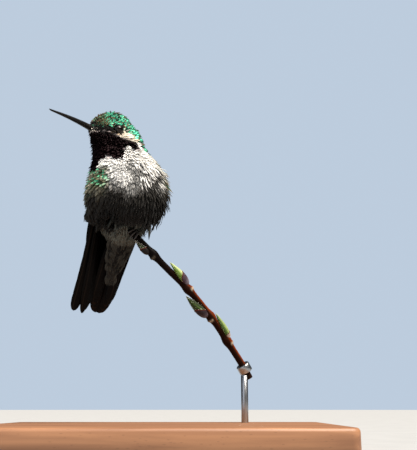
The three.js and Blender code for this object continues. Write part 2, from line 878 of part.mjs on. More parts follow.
add( 'tail', tailSolid(), dusky );
const undertail = undertailSolid().subtract( tailHalf( tailFace + gap / 2, - 1 ) ).subtract( twigClear );
const uppertail = uppertailSolid().subtract( tailHalf( tailFace - tailDepth - gap / 2, 1 ) );
add( 'undertail_coverts', undertail, white );
add( 'uppertail_coverts', uppertail, green );
const clearOfTail = join( [ tailRoom( gap / 2 ), uppertailSolid( gap / 2 ), undertailSolid( gap / 2 ) ] );
const rightWing = wingSolid( wings.right ).subtract( clearOfTail );
const leftWing = wingSolid( wings.left ).subtract( clearOfTail ).subtract( wingRoom( wings.right, gap / 2 ) );
add( 'wing_right', rightWing, dusky );
add( 'wing_left', leftWing, dusky );

for ( const [ name, foot ] of [ [ 'right', rightFoot ], [ 'left', leftFoot ] ] ) {

	add( `foot_${name}`, foot.foot, skinDark );
	add( `leg_${name}`, foot.shin.subtract( foot.foot ), skinDark );
	foot.claws.forEach( ( claw, i ) => add( `claw_${name}_${i + 1}`, claw, horn ) );

}

const budParts = buds.map( budPieces );
const underBuds = twigSolid( budGap );
add( 'perch_twig', twig, bark );
budParts.forEach( ( { scale, tip }, i ) => {

	add( `bud_scale_${i + 1}`, scale.subtract( underBuds ), budBrown );
	add( `bud_${i + 1}`, tip.subtract( underBuds ), budGreen );

} );

// ---------- display stand ----------

const clipShare = 0.95; // where along the twig the stand holds it
const clipAt = twigPath.getPointAt( clipShare );
const clipAlong = twigPath.getTangentAt( clipShare );
const clipInner = twigRadiusAt( clipShare ) + gap;
const clipOuter = clipInner + 0.9;
const clipHalf = 1.5;
const rodClear = 0.15; // round the rod in its socket

function clipBore( radius, half ) {

	const rod = new THREE.CylinderGeometry( radius, radius, 2 * half, 13 );
	rod.applyQuaternion( new THREE.Quaternion().setFromUnitVectors( V( 0, 1, 0 ), clipAlong ) );
	rod.translate( clipAt.x, clipAt.y, clipAt.z );
	return solid( rod );

}

function upright( radius, low, high, sides = 16 ) {

	const rod = new THREE.CylinderGeometry( radius, radius, high - low, sides );
	rod.rotateX( Math.PI / 2 );
	rod.translate( clipAt.x, clipAt.y, ( low + high ) / 2 );
	return solid( rod );

}

const board = new RoundedBoxGeometry( baseSize.x, baseSize.y, baseSize.z * 2, 2, 3 );
const floorCut = new THREE.BoxGeometry( 2 * baseSize.x, 2 * baseSize.y, 4 * baseSize.z );
floorCut.translate( 0, 0, - 2 * baseSize.z );
const socket = upright( rodRadius + rodClear, baseSize.z - socketDepth, 2 * baseSize.z );
add( 'stand_base', solid( board ).subtract( solid( floorCut ) ).subtract( socket ), wood );
const rod = upright( rodRadius, baseSize.z - socketDepth + rodClear, clipAt.z );
add( 'stand_rod', rod.subtract( clipBore( clipOuter + 0.1, 4 * clipHalf ) ), steel );
add( 'stand_collar', clipBore( clipOuter, clipHalf ).subtract( clipBore( clipInner, 4 * clipHalf ) ), steel );

export default bird;
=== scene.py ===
import math

import bmesh
import bpy
import numpy as np
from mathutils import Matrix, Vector, noise
from mathutils.bvhtree import BVHTree
from mathutils.kdtree import KDTree

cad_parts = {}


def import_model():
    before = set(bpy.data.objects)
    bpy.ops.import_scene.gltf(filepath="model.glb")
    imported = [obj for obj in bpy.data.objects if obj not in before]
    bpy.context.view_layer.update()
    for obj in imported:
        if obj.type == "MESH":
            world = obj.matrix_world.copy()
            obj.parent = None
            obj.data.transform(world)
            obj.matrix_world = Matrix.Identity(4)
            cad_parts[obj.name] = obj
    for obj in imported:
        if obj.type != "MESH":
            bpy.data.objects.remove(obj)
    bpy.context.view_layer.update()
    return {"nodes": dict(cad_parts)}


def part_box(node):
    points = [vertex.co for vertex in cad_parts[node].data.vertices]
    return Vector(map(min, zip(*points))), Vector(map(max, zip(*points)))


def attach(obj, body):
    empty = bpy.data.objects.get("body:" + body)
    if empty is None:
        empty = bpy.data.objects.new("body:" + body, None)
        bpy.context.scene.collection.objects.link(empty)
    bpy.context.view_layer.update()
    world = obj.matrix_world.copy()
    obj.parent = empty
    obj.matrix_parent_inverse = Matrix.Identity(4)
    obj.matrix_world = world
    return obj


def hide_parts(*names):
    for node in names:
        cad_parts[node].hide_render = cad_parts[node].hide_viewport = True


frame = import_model()
mm = 0.001


# Shared tools

def linear(colour):
    channels = [int(colour[i:i + 2], 16) / 255 for i in (1, 3, 5)]
    return [c / 12.92 if c <= 0.04045 else ((c + 0.055) / 1.055) ** 2.4 for c in channels] + [1.0]


def rgb(colour):
    return np.array(linear(colour)[:3])


def blend(first, second, weight):
    # from the first value to the second, for tones, places and lengths
    return first + (second - first) * weight


def between(pair, share):
    # the same for a pair of rows, each with its own share
    return np.array(pair[0], float) * (1 - share) + np.array(pair[1], float) * share


def addNode(tree, kind, settings=None, inputs=None, links=None, stops=None):
    made = tree.nodes.new("ShaderNode" + kind)
    for key, value in (settings or {}).items():
        setattr(made, key, value)
    for key, value in (inputs or {}).items():
        made.inputs[key].default_value = value
    for key, socket in (links or {}).items():
        tree.links.new(socket, made.inputs[key])
    for i, (at, colour) in enumerate(stops or []):
        stop = made.color_ramp.elements[i] if i < 2 else made.color_ramp.elements.new(at)
        stop.position = at
        stop.color = linear(colour)
    return made


def startMaterial(name, sockets):
    material = bpy.data.materials.new(name)
    material.use_nodes = True
    shader = material.node_tree.nodes["Principled BSDF"]
    for key, value in sockets.items():
        shader.inputs[key].default_value = value
    return material, material.node_tree, shader


def tonedBy(tree, plume, value, low, high, spread):
    # the painted colour, made darker and lighter by a pattern
    shade = addNode(tree, "MapRange",
                    inputs={"From Min": spread[0], "From Max": spread[1], "To Min": low, "To Max": high},
                    links={"Value": value})
    toned = addNode(tree, "VectorMath", {"operation": "SCALE"},
                    links={0: plume.outputs["Color"], "Scale": shade.outputs[0]})
    return toned.outputs[0]


def finishMaterial(tree, shader, colour, height, bump, depth):
    # colour and relief onto the shader, depth in mm
    tree.links.new(colour, shader.inputs["Base Color"])
    if bump:
        relief = addNode(tree, "Bump", inputs={"Strength": bump, "Distance": depth * mm},
                         links={"Height": height})
        tree.links.new(relief.outputs[0], shader.inputs["Normal"])


def unit(vectors):
    return vectors / np.maximum(np.linalg.norm(vectors, axis=-1, keepdims=True), 1e-12)


def squareTo(vector, axis):
    # the part of a vector that stands square to an axis, made one long
    return unit(vector - axis * (vector @ axis))


def anglesRound(count):
    return np.linspace(0, 2 * np.pi, count, endpoint=False)


def ringOf(turn, first, second):
    # directions round a circle that two square directions span
    return np.cos(turn)[..., None] * first + np.sin(turn)[..., None] * second


def smooth(value, low, high):
    t = np.clip((value - low) / (high - low), 0, 1)
    return t * t * (3 - 2 * t)


def through(value, pairs):
    at, level = zip(*pairs)
    return np.interp(value, at, level)


def loft(rings):
    # rings: (how many, stations, points round, 3); each becomes a closed solid with flat ends
    count, stations, around = rings.shape[:3]
    here = np.arange(around)
    nextOne = np.roll(here, -1)
    sides = np.stack([here, nextOne, nextOne + around, here + around], 1)
    sides = (sides[None] + around * np.arange(stations - 1)[:, None, None]).reshape(-1, 4)
    k = np.arange(around // 2 - 1)
    cap = np.stack([k, k + 1, around - 2 - k, around - 1 - k], 1)
    one = np.vstack([sides, cap[:, ::-1], cap + around * (stations - 1)])
    faces = one[None] + stations * around * np.arange(count)[:, None, None]
    return rings.reshape(-1, 3), faces.reshape(-1, 4)


def ringFaces(rows, columns):
    # a grid that closes on itself both ways, as a torus does
    grid = np.arange(rows * columns).reshape(rows, columns)
    down, right = np.roll(grid, -1, 0), np.roll(grid, -1, 1)
    return np.stack([grid, right, np.roll(right, -1, 0), down], -1).reshape(-1, 4)


def framesAlong(path, hint):
    tangent = unit(np.gradient(path, axis=0))
    side = unit(np.cross(np.broadcast_to(hint, path.shape), tangent))
    return side, np.cross(tangent, side)


def tube(path, radius, hint):
    # radius: (stations, points round)
    side, up = framesAlong(path, hint)
    turn = anglesRound(radius.shape[1])
    x, y = (np.cos(turn) * radius)[..., None], (np.sin(turn) * radius)[..., None]
    return (path[:, None] + (side[:, None] * x + up[:, None] * y))[None]


def merged(parts):
    # several (points, faces) made into one
    points, faces, start = [], [], 0
    for some, quads in parts:
        points.append(some)
        faces.append(quads + start)
        start += len(some)
    return np.vstack(points), np.vstack(faces)


def makePiece(name, points, faces, material, values=None, patches=None, replaces=()):
    mesh = bpy.data.meshes.new(name)
    mesh.vertices.add(len(points))
    mesh.vertices.foreach_set("co", np.asarray(points, np.float32).ravel())
    mesh.loops.add(faces.size)
    mesh.loops.foreach_set("vertex_index", faces.astype(np.int32).ravel())
    mesh.polygons.add(len(faces))
    mesh.polygons.foreach_set("loop_start", np.arange(0, faces.size, faces.shape[1], dtype=np.int32))
    mesh.polygons.foreach_set("use_smooth", np.ones(len(faces), bool))
    mesh.update(calc_edges=True)
    for key, value in (values or {}).items():
        wide = value.ndim == 2
        layer = mesh.attributes.new(key, "FLOAT_COLOR" if wide else "FLOAT", "POINT")
        full = np.hstack([value, np.ones((len(value), 1))]) if wide else value
        layer.data.foreach_set("color" if wide else "value", full.astype(np.float32).ravel())
    if patches is not None:
        layer = mesh.uv_layers.new(name="OFBake")
        layer.data.foreach_set("uv", patches[faces.ravel()].astype(np.float32).ravel())
    mesh.materials.append(material)
    made = bpy.data.objects.new(name, mesh)
    bpy.context.scene.collection.objects.link(made)
    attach(made, "root")
    if replaces:
        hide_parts(*replaces)


def pointsOf(name):
    flat = np.empty(3 * len(frame["nodes"][name].data.vertices), np.float32)
    frame["nodes"][name].data.vertices.foreach_get("co", flat)
    return flat.reshape(-1, 3).astype(float)


def trianglesOf(name):
    mesh = frame["nodes"][name].data
    mesh.calc_loop_triangles()
    flat = np.empty(3 * len(mesh.loop_triangles), np.int32)
    mesh.loop_triangles.foreach_get("vertices", flat)
    return flat.reshape(-1, 3)


def treeOf(names):
    parts = merged([(pointsOf(name), trianglesOf(name)) for name in names])
    return BVHTree.FromPolygons(parts[0].tolist(), parts[1].tolist())


def curveThrough(points, count):
    # a centripetal Catmull-Rom curve, resampled at equal lengths
    points = np.array(points, float)
    points = np.vstack([2 * points[0] - points[1], points, 2 * points[-1] - points[-2]])
    dense = []
    share = np.linspace(0, 1, 40, endpoint=False)[:, None]  # 40 points between two given ones
    for a, b, c, d in zip(points, points[1:], points[2:], points[3:]):
        before, here, after = (np.linalg.norm(q - p) ** 0.5 for p, q in ((a, b), (b, c), (c, d)))
        leave = ((b - a) / before - (c - a) / (before + here) + (c - b) / here) * here
        arrive = ((c - b) / here - (d - b) / (here + after) + (d - c) / after) * here
        cubic = 2 * b - 2 * c + leave + arrive
        square = 3 * c - 3 * b - 2 * leave - arrive
        dense.append(b + leave * share + square * share ** 2 + cubic * share ** 3)
    dense = np.vstack(dense + [points[-2:-1]])
    length = np.concatenate([[0], np.cumsum(np.linalg.norm(np.diff(dense, axis=0), axis=1))])
    at = np.linspace(0, length[-1], count)
    return np.stack([np.interp(at, length, dense[:, i]) for i in range(3)], 1)


# The bird's own directions and places, in mm and degrees, as in the solids

stance = {
    "bodyTurn": 18,
    "bodyPitch": 72,
    "billPoint": (-26.6, -5.6, 107.2),
    "billTurn": 48,
    "billRise": 6,
    "headRoll": 9,
    "chin": 62,  # where the bill stands over the body
    "tailRoot": (-15.9, 8.6, 76.0),
    "tailTip": (-25.6, 21.0, 46.2),
    # down the middle of the body, from the vent to the crown
    "middle": [(-17.6, 11.2, 64), (-15.6, 8.2, 72), (-13.9, 2.4, 80), (-13.6, 0.6, 90),
               (-15.4, -1.6, 99), (-18.0, -1.6, 106), (-19.0, 0.8, 112), (-18.8, 1.6, 118)],
}

turned, pitched = np.radians(stance["bodyTurn"]), np.radians(stance["bodyPitch"])
facing = np.array([math.sin(turned), -math.cos(turned), 0])
bodySide = np.cross(facing, [0, 0, 1])  # the bird's right
bodyUp = facing * math.cos(pitched) + np.array([0, 0, math.sin(pitched)])
turned, risen, rolled = (np.radians(stance[key]) for key in ("billTurn", "billRise", "headRoll"))
ahead = math.cos(risen)
headAlong = np.array([-math.cos(turned) * ahead, -math.sin(turned) * ahead, math.sin(risen)])
level = unit(np.cross([0, 0, 1], headAlong))
headLeft = level * math.cos(rolled) - np.cross(headAlong, level) * math.sin(rolled)
headUp = np.cross(headAlong, headLeft)
billPoint = np.array(stance["billPoint"]) * mm
tailRoot = np.array(stance["tailRoot"]) * mm
tailDown = unit(np.array(stance["tailTip"]) * mm - tailRoot)
tailSide = squareTo(bodySide, tailDown)
tailFront = np.cross(tailSide, tailDown)
tailFront = tailFront * (-1 if tailFront[1] > 0 else 1)
eyeCentre = {side: np.array(sum(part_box("eye_" + side), Vector())) / 2 for side in ("left", "right")}
eyeRadius = (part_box("eye_left")[1].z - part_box("eye_left")[0].z) / 2
outward = {"left": headLeft, "right": -headLeft}


def placeOf(points):
    # where points lie, in mm and degrees: turn runs round the body from the breast to the bird's right
    p = np.asarray(points) / mm
    middle = np.array(stance["middle"])
    out = p[:, :2] - np.stack([np.interp(p[:, 2], middle[:, 2], middle[:, i]) for i in (0, 1)], 1)
    turn = np.degrees(np.arctan2(out @ bodySide[:2], out @ facing[:2]))
    fromBill = p - billPoint / mm
    fromTail = p - tailRoot / mm
    return {
        "turn": turn,
        "z": p[:, 2],
        # degrees round the neck from under the bill, either way
        "cheek": np.abs((turn - stance["chin"] + 180) % 360 - 180),
        "left": fromBill @ headLeft,
        "ahead": fromBill @ headAlong,
        "up": fromBill @ headUp,
        "far": np.linalg.norm(fromBill, axis=1),
        "down": fromTail @ tailDown,
        "front": fromTail @ tailFront,
        "points": p,
    }


# Plumage colours and where they lie

plumage = {
    "crown": "#174f3b",
    "crownBrown": "#1a1611",
    "forehead": "#17120d",
    "tanEdge": "#725b3e",
    "lore": "#0b0908",
    "cheekLine": "#b89d7c",
    "stripe": "#e6ddcc",
    "gorget": "#080506",
    "collar": "#f7f6f3",
    "breastGrey": "#7d7d7b",
    "scallop": "#224a35",
    "scallopGrey": "#97937f",
    "streakDark": "#2b2927",
    "rufous": "#84583a",
    "buff": "#b89a72",
    # belly tones: the belly's own grey, darkened as painted shade of the underside, darkest lowest down
    "bellyGreyAndShade": "#262421",
    "belly": "#0f0e0d",
    "back": "#1d4a35",
    "backEdge": "#4d4a31",
    # vent and coverts under the tail: their pale grey-white, greyed as painted shade of the underside
    "vent": "#5c5e57",
    "undertail": "#3b3933",
    "spot": "#0d0c0a",
}
tone = {key: rgb(value) for key, value in plumage.items()}

# edges as pairs of (degrees round the neck from under the bill, mm above the bill's axis)
gorgetLower = [(0, -14.3), (6, -12.4), (11, -9.9), (19, -8.3), (27, -9.0), (41, -9.5), (51, -8.4),
               (57, -5.2), (64, -3.9), (71, -3.5), (77, -4.2), (85, -4.7), (94, -4.4), (100, -3.6)]
gorgetLowerRight = [(0, -14.3), (12, -13.8), (28, -12.6), (45, -9.5), (60, -5.6), (88, -3.8), (96, -2.8)]
gorgetUpper = [(25, -0.8), (42, -1.4), (59, -1.7), (80, -1.5), (96, -1.3)]
stripeTop = [(30, -0.7), (42, -1.1), (60, -0.8), (75, 1.0), (85, 2.3), (95, 1.4), (112, -0.8)]
greenLower = [(0, 0.9), (15, 0.7), (34, 1.2), (50, 2.0), (62, 3.0), (78, 2.8), (90, 2.2), (95, 1.6),
              (112, -0.8), (124, -3.2), (134, -14)]
# the top of the belly's dark, where its grey and the painted shade of the underside begin: (degrees round
# the body from the breast, height in mm)
bellyShadeTop = [(-90, 89.0), (-58, 88.8), (-24, 87.8), (-8, 86.2), (8, 85.8), (22, 87.0), (34, 87.2), (46, 86.0),
            (60, 85.6), (90, 86.0)]
# patches on the body: degrees from the breast and height in mm of the middle, then half the width and height
bodyPatches = {
    "breastShade": (-7, 89.2, 13, 4.2),
    "breastLine": (1, 92.6, 7, 1.6),
    "breastWhite": (14, 88.6, 10, 2.2),
    "rufousLine": (71, 92.4, 11, 0.9),
}


def mottle(points, scale, seed=0.0):
    return np.array([noise.noise(Vector(p) * scale + Vector((seed, 3.1, 7.7))) for p in points.tolist()])


def throatEdge(at):
    # the throat patch reaches lower on the bird's right, where the turned head gathers it
    onRight = at["turn"] > stance["chin"]
    return np.where(onRight, through(at["cheek"], gorgetLowerRight), through(at["cheek"], gorgetLower))


def markings(at, luck):
    # colour of the coat, and of the edges of its feathers; luck is 0 to 1 for each feather
    turn, z, cheek, up = at["turn"], at["z"], at["cheek"], at["up"]
    mottled = mottle(at["points"], 0.32)
    colour = np.tile(tone["back"], (len(z), 1))
    edge = np.tile(tone["backEdge"], (len(z), 1))

    def lay(name, weight, edgeName=None):
        nonlocal colour, edge
        weight = np.clip(weight, 0, 1)[:, None]
        colour = blend(colour, tone[name], weight)
        edge = blend(edge, tone[edgeName or name], weight)

    def patch(name):
        turnAt, zAt, wide, tall = bodyPatches[name]
        return 1 - smooth(np.hypot((turn - turnAt) / wide, (z - zAt) / tall), 0.6, 1.1)

    def before(value, low, high):
        return 1 - smooth(value, low, high)

    # the pale underside, to the sides of body and neck
    high = smooth(z, 94, 100)
    under = (1 - high) * before(np.abs(turn), 86, 98) + high * before(cheek, 119, 126)
    under = under * (at["down"] < 34)
    lay("collar", under)
    lay("breastGrey", under * smooth(mottled, 0.05, 0.4) * 0.5 * before(z, 90, 95))
    lay("breastGrey", under * np.maximum(patch("breastShade"), patch("breastLine")) * 0.85)
    near = z - through(turn, bellyShadeTop)
    # a grey band just over the belly's edge: painted shade where the breast turns under
    lay("breastGrey", under * before(near, 0.4, 2.6) * (0.35 + 0.5 * (luck > 0.4)))
    lay("collar", under * patch("breastWhite"))
    # right flank: scaled grey and green
    right = smooth(turn, 33, 43) * smooth(z, 80, 82) * before(z, 91.5, 93.5) * under
    lay("scallopGrey", right)
    lay("scallop", right * (luck > 0.45) * 0.85, "tanEdge")
    # left flank: streaks run down the coat, narrow round the body, long up and down
    left = smooth(-turn, 8, 18) * smooth(z, 82, 84.5) * before(z, 92.5, 95) * under
    streak = mottle(np.stack([turn * 0.3, z * 0.2, 0 * z], 1), 1.0, 5.0)
    streaked = streak + 0.35 * (luck - 0.5) > 0.1 - 0.16 * before(z, 87, 91)
    lay("streakDark", left * streaked * 0.95)
    lay("collar", left * ~streaked)
    outerLeft = smooth(-turn, 44, 62) * smooth(z, 83, 86) * before(z, 98, 100) * under
    lay("scallop", outerLeft * (luck > 0.4) * 0.8, "buff")
    lay("buff", outerLeft * (luck < 0.25) * 0.7, "rufous")
    # dark line before the right wing, and the belly's grey, darkened on its sides and downwards as painted
    # shade of the underside
    lay("streakDark", smooth(turn, 74, 84) * before(turn, 120, 130) * smooth(z, 91, 93) * before(z, 97, 99))
    lay("rufous", patch("rufousLine") * under)
    lay("bellyGreyAndShade", smooth(np.abs(turn), 84, 92) * before(np.abs(turn), 118, 132) * before(z, 80, 84))
    # the belly: grey below its edge, darker downwards as painted shade
    belly = under * before(near + 1.6 * mottled + 0.8 * (luck - 0.5), -2.6, 1.6)
    lay("bellyGreyAndShade", belly)
    lay("belly", belly * before(near, -6.5, -1.5) * (0.75 + 0.25 * (luck > 0.3)))
    # thighs, vent and the coverts under the tail
    vent = before(z, 73.5, 76.5) * (at["front"] > 0.2)
    lay("vent", vent)
    lay("undertail", vent * smooth(at["down"], 6, 9), "vent")
    lay("spot", vent * smooth(at["down"], 7, 9) * (luck > 0.35) * 0.75, "vent")
    # neck and head
    overThroat = up - through(cheek, gorgetUpper)
    gorget = smooth(up - throatEdge(at), -0.25, 0.25) * before(cheek, 97, 101)
    gorget = gorget * before(overThroat, -0.3, 0.1) * (z > 90)
    head = smooth(overThroat, -0.3, 0.1) * (cheek < 125) * (z > 99)
    lay("lore", head)
    overStripe = up - through(cheek, stripeTop)
    lay("cheekLine", head * before(np.abs(overStripe), 0.25, 0.6) * smooth(cheek, 34, 42) * (luck > 0.3))
    stripe = before(overStripe, -0.25, 0.15) * smooth(cheek, 42, 50)
    lay("stripe", head * stripe * (0.5 + 0.5 * (luck > 0.35)))
    flecks = (cheek < 22) * before(np.abs(up + 0.3), 0.3, 0.6) * (at["ahead"] > -0.9) * (luck > 0.6)
    lay("stripe", head * flecks)
    green = smooth(up - through(cheek, greenLower), -0.2, 0.4) * (z > 99)
    lay("crown", green)
    lay("crownBrown", green * (luck < 0.45 - 0.17 * smooth(up, 2.5, 4)) * 0.95, "tanEdge")
    brown = np.maximum(smooth(at["ahead"], -4.4, -2.4), before(up, 2.0, 3.2) * (cheek < 62))
    lay("forehead", green * brown * (luck > 0.15), "tanEdge")
    # the pale fleck just behind each eye
    fleck = np.hypot((at["ahead"] + 8.7) / 0.95, (up - 1.9) / 0.8) + (np.abs(at["left"]) < 5)
    lay("stripe", before(fleck, 0.75, 1.1))
    lay("gorget", gorget)
    return colour, edge


print("frames and markings ready")


# Skin: one closed body under the coat, inside the solids by the coat's depth

skinShape = {
    "covers": ["head", "neck", "breast", "belly", "rump", "undertail_coverts", "uppertail_coverts"],
    "swell": 0.28,  # mm, closes the thin cuts between the solids
    "voxel": 0.5,
    # coat depth in mm against the distance from the root of the bill
    "depth": [(0, 0.2), (3, 0.4), (8, 0.75), (13, 1.0), (20, 1.5), (40, 1.6)],
    "rumpDepth": 0.9, "thinEnd": 0.55,  # mm, and the share less at the thin end under the tail
    "armsAbove": (5.0, 80.0, 0.45),  # the arms' lower end: y and z in mm, and its slope towards the back
    "smoothed": (16, 5), "finer": 0.85,  # rounds of smoothing of both meshes, and the second one's voxel
    "search": 3.5,  # mm, how far out the solids' surface is looked for
    "pushed": (-0.2, 0.7), "blur": 12,  # mm that a point may move, and rounds of evening out
    "drawnIn": 0.35,
}


def throughModifiers(mesh, name, chain):
    worker = bpy.data.objects.new(name, mesh)
    bpy.context.scene.collection.objects.link(worker)
    for kind, settings in chain:
        modifier = worker.modifiers.new(kind, kind)
        for key, value in settings.items():
            setattr(modifier, key, value)
    made = bpy.data.meshes.new_from_object(worker.evaluated_get(bpy.context.evaluated_depsgraph_get()))
    bpy.data.objects.remove(worker)
    return made


def verticesAndNormals(mesh):
    points = np.empty(3 * len(mesh.vertices), np.float32)
    normals = np.empty(3 * len(mesh.vertices), np.float32)
    mesh.vertices.foreach_get("co", points)
    mesh.vertex_normals.foreach_get("vector", normals)
    return points.reshape(-1, 3).astype(float), normals.reshape(-1, 3).astype(float)


def coatDepth(at):
    depth = through(at["far"], skinShape["depth"])
    tail = smooth(at["down"], -2, 3)
    rump = skinShape["rumpDepth"] * (1 - skinShape["thinEnd"] * smooth(at["down"], 7, 11))
    return (depth * (1 - tail) + rump * tail) * mm


def makeSkinMesh():
    start = bpy.data.meshes.new("skinStart")
    build = bmesh.new()
    for name in skinShape["covers"]:
        build.from_mesh(frame["nodes"][name].data)
    bmesh.ops.remove_doubles(build, verts=build.verts, dist=1e-6)
    build.to_mesh(start)
    build.free()
    # the folded arms lie under the same skin: the wings' upper parts, closed below by a slanting cut
    middle, level, slope = skinShape["armsAbove"]
    for name in ("wing_right", "wing_left"):
        build = bmesh.new()
        build.from_mesh(frame["nodes"][name].data)
        bmesh.ops.remove_doubles(build, verts=build.verts, dist=1e-6)
        cut = bmesh.ops.bisect_plane(
            build, geom=build.verts[:] + build.edges[:] + build.faces[:], clear_inner=True,
            plane_co=(0, middle * mm, level * mm), plane_no=(0, -slope, 1))
        rim = [part for part in cut["geom_cut"] if isinstance(part, bmesh.types.BMEdge)]
        bmesh.ops.holes_fill(build, edges=rim)
        build.from_mesh(start)
        build.to_mesh(start)
        build.free()
    voxel = skinShape["voxel"] * mm
    whole = throughModifiers(start, "skinWhole", [
        ("DISPLACE", {"strength": skinShape["swell"] * mm, "mid_level": 0.0}),
        ("REMESH", {"mode": "VOXEL", "voxel_size": voxel}),
        ("SMOOTH", {"factor": 0.5, "iterations": skinShape["smoothed"][0]}),
    ])
    points, normals = verticesAndNormals(whole)
    points -= normals * (coatDepth(placeOf(points)) + skinShape["swell"] * mm)[:, None]
    whole.vertices.foreach_set("co", points.astype(np.float32).ravel())
    whole.update()
    inside = throughModifiers(whole, "skinInside", [
        ("REMESH", {"mode": "VOXEL", "voxel_size": voxel * skinShape["finer"]}),
        ("SMOOTH", {"factor": 0.5, "iterations": skinShape["smoothed"][1]}),
    ])
    # smoothing has drawn the small forms in, so each point goes back out to its own depth
    points, normals = verticesAndNormals(inside)
    solids = treeOf(skinShape["covers"])
    push = np.zeros(len(points))
    deep = coatDepth(placeOf(points))
    for i, (spot, normal) in enumerate(zip(points.tolist(), normals.tolist())):
        spot, normal = Vector(spot), Vector(normal)
        reach, start = 0.0, spot
        while reach < skinShape["search"] * mm:
            hit = solids.ray_cast(start, normal, skinShape["search"] * mm - reach)[0]
            if hit is None:
                break
            reach = (hit - spot).length
            start = hit + normal * 0.02 * mm
        push[i] = reach - deep[i] if reach else 0
    push = np.clip(push, skinShape["pushed"][0] * mm, skinShape["pushed"][1] * mm)
    edges = np.empty(2 * len(inside.edges), int)
    inside.edges.foreach_get("vertices", edges)
    edges = edges.reshape(-1, 2)
    degree = np.bincount(edges.ravel(), minlength=len(points))
    for _ in range(skinShape["blur"]):
        total = sum(np.bincount(edges[:, i], push[edges[:, 1 - i]], len(points)) for i in (0, 1))
        push = (push + total / degree) / 2
    points = points + normals * push[:, None]
    # the thin end under the tail is drawn in at its sides, under the coverts
    at = placeOf(points)
    aside = (points - tailRoot) @ tailSide * skinShape["drawnIn"] * smooth(at["down"], 3, 8)
    points -= aside[:, None] * tailSide
    inside.vertices.foreach_set("co", points.astype(np.float32).ravel())
    inside.update()
    return inside


skinMesh = makeSkinMesh()
skinPoints, skinNormals = verticesAndNormals(skinMesh)
skinQuads = np.array([list(p.vertices) for p in skinMesh.polygons if len(p.vertices) == 4])
print("skin has", len(skinQuads), "faces, from", len(skinMesh.polygons))
skinTree = BVHTree.FromPolygons(skinPoints.tolist(), skinQuads.tolist())
skinFaceNormals = unit(skinNormals[skinQuads].mean(1))


def nearestOnSkin(points):
    found = [skinTree.find_nearest(p) for p in points.tolist()]
    return np.array([f[0][:] for f in found]), skinFaceNormals[[f[2] for f in found]]


# The coat: closed thin vanes and tufts, laid over the skin

# where one lie of the feathers passes into the next, in mm, and how far they turn outwards and down
coatLie = {"head": (-6, 1.0), "tail": (-3, 3), "breast": (80, 90), "neck": (96, 101),
           "outwards": 0.75, "headDown": 0.25}


def lieOfBody(points, normals):
    # which way the feathers point
    at = placeOf(points)
    onHead = smooth(at["up"], *coatLie["head"])[:, None]
    onTail = smooth(at["down"], *coatLie["tail"])[:, None]
    away = np.sin(np.radians(at["turn"]))[:, None] * bodySide
    spread = smooth(at["z"], *coatLie["breast"]) * (1 - smooth(at["z"], *coatLie["neck"]))
    trunk = -bodyUp + coatLie["outwards"] * away * spread[:, None]
    way = onHead * -headAlong + (1 - onHead) * ((1 - onTail) * trunk + onTail * tailDown)
    way = way - coatLie["headDown"] * onHead * headUp
    return unit(way - normals * (way * normals).sum(1)[:, None])


def scatter(gap, seed, tries):
    # roots spread over the skin, no two nearer than gap(place) in mm
    random = np.random.default_rng(seed)
    corners = skinPoints[skinQuads]
    area = np.linalg.norm(np.cross(corners[:, 2] - corners[:, 0], corners[:, 3] - corners[:, 1]), axis=1) / 2
    room = gap(placeOf(corners.mean(1)))
    share = area / room ** 2
    picked = random.choice(len(corners), tries, p=share / share.sum())
    u, v = random.random((2, tries, 1))
    some = corners[picked]
    spots = (some[:, 0] * (1 - u) + some[:, 1] * u) * (1 - v) + (some[:, 3] * (1 - u) + some[:, 2] * u) * v
    room = gap(placeOf(spots)) * mm
    near = KDTree(tries)
    for i, spot in enumerate(spots.tolist()):
        near.insert(spot, i)
    near.balance()
    kept = np.ones(tries, bool)
    listed = spots.tolist()
    for i in range(tries):
        if kept[i]:
            for _, j, _ in near.find_range(listed[i], room[i]):
                if j > i:
                    kept[j] = False
    return nearestOnSkin(spots[kept])


def layOver(roots, normals, turned, length, height, stations):
    # walks over the skin from each root along the lie of the coat, rising off it by height
    spot, normal = roots.copy(), normals.copy()
    path, ups = [], []
    step = length / (stations - 1)
    for i, share in enumerate(np.linspace(0, 1, stations)):
        path.append(spot + normal * height(share)[:, None])
        ups.append(normal)
        if i + 1 < stations:
            way = lieOfBody(spot, normal)
            way = way * np.cos(turned)[:, None] + np.cross(normal, way) * np.sin(turned)[:, None]
            ahead = spot + way * step[:, None]
            landed, landedNormal = nearestOnSkin(ahead)
            # past an edge of the skin the walk goes straight on
            off = np.linalg.norm(landed - ahead, axis=1) > 0.6 * mm + 0.25 * length / (stations - 1)
            spot = np.where(off[:, None], ahead, landed)
            normal = np.where(off[:, None], normal, landedNormal)
    return np.stack(path, 1), np.stack(ups, 1)


# cross-sections: (across, thickness, droop), anticlockwise seen from the tip
vaneSection = np.array([(1, 0, 1), (0.5, 0.8, 0.25), (0, 1, 0), (-0.5, 0.8, 0.25), (-1, 0, 1), (0, -1, 0.1)])
strandSection = np.array([(1, 0, 1), (0, 1, 0), (-1, 0, 1), (0, -1, 0.2)])


def vaneRings(path, ups, half, thick, section, camber, roll):
    tangent = unit(np.gradient(path, axis=1))
    side = unit(np.cross(ups, tangent))
    up = np.cross(tangent, side)
    turned = side * np.cos(roll)[:, None, None] + up * np.sin(roll)[:, None, None]
    up = up * np.cos(roll)[:, None, None] - side * np.sin(roll)[:, None, None]
    across = (half[..., None] * section[:, 0])[..., None]
    rise = (thick[..., None] * section[:, 1] - half[..., None] * camber * section[:, 2])[..., None]
    return path[:, :, None] + turned[:, :, None] * across + up[:, :, None] * rise


# the unwrap that the feathers' bake patches lie on: round the body by height
bakeSheet = {"patch": 0.003, "margin": 0.01, "heights": (44, 118), "edge": 0.0005}


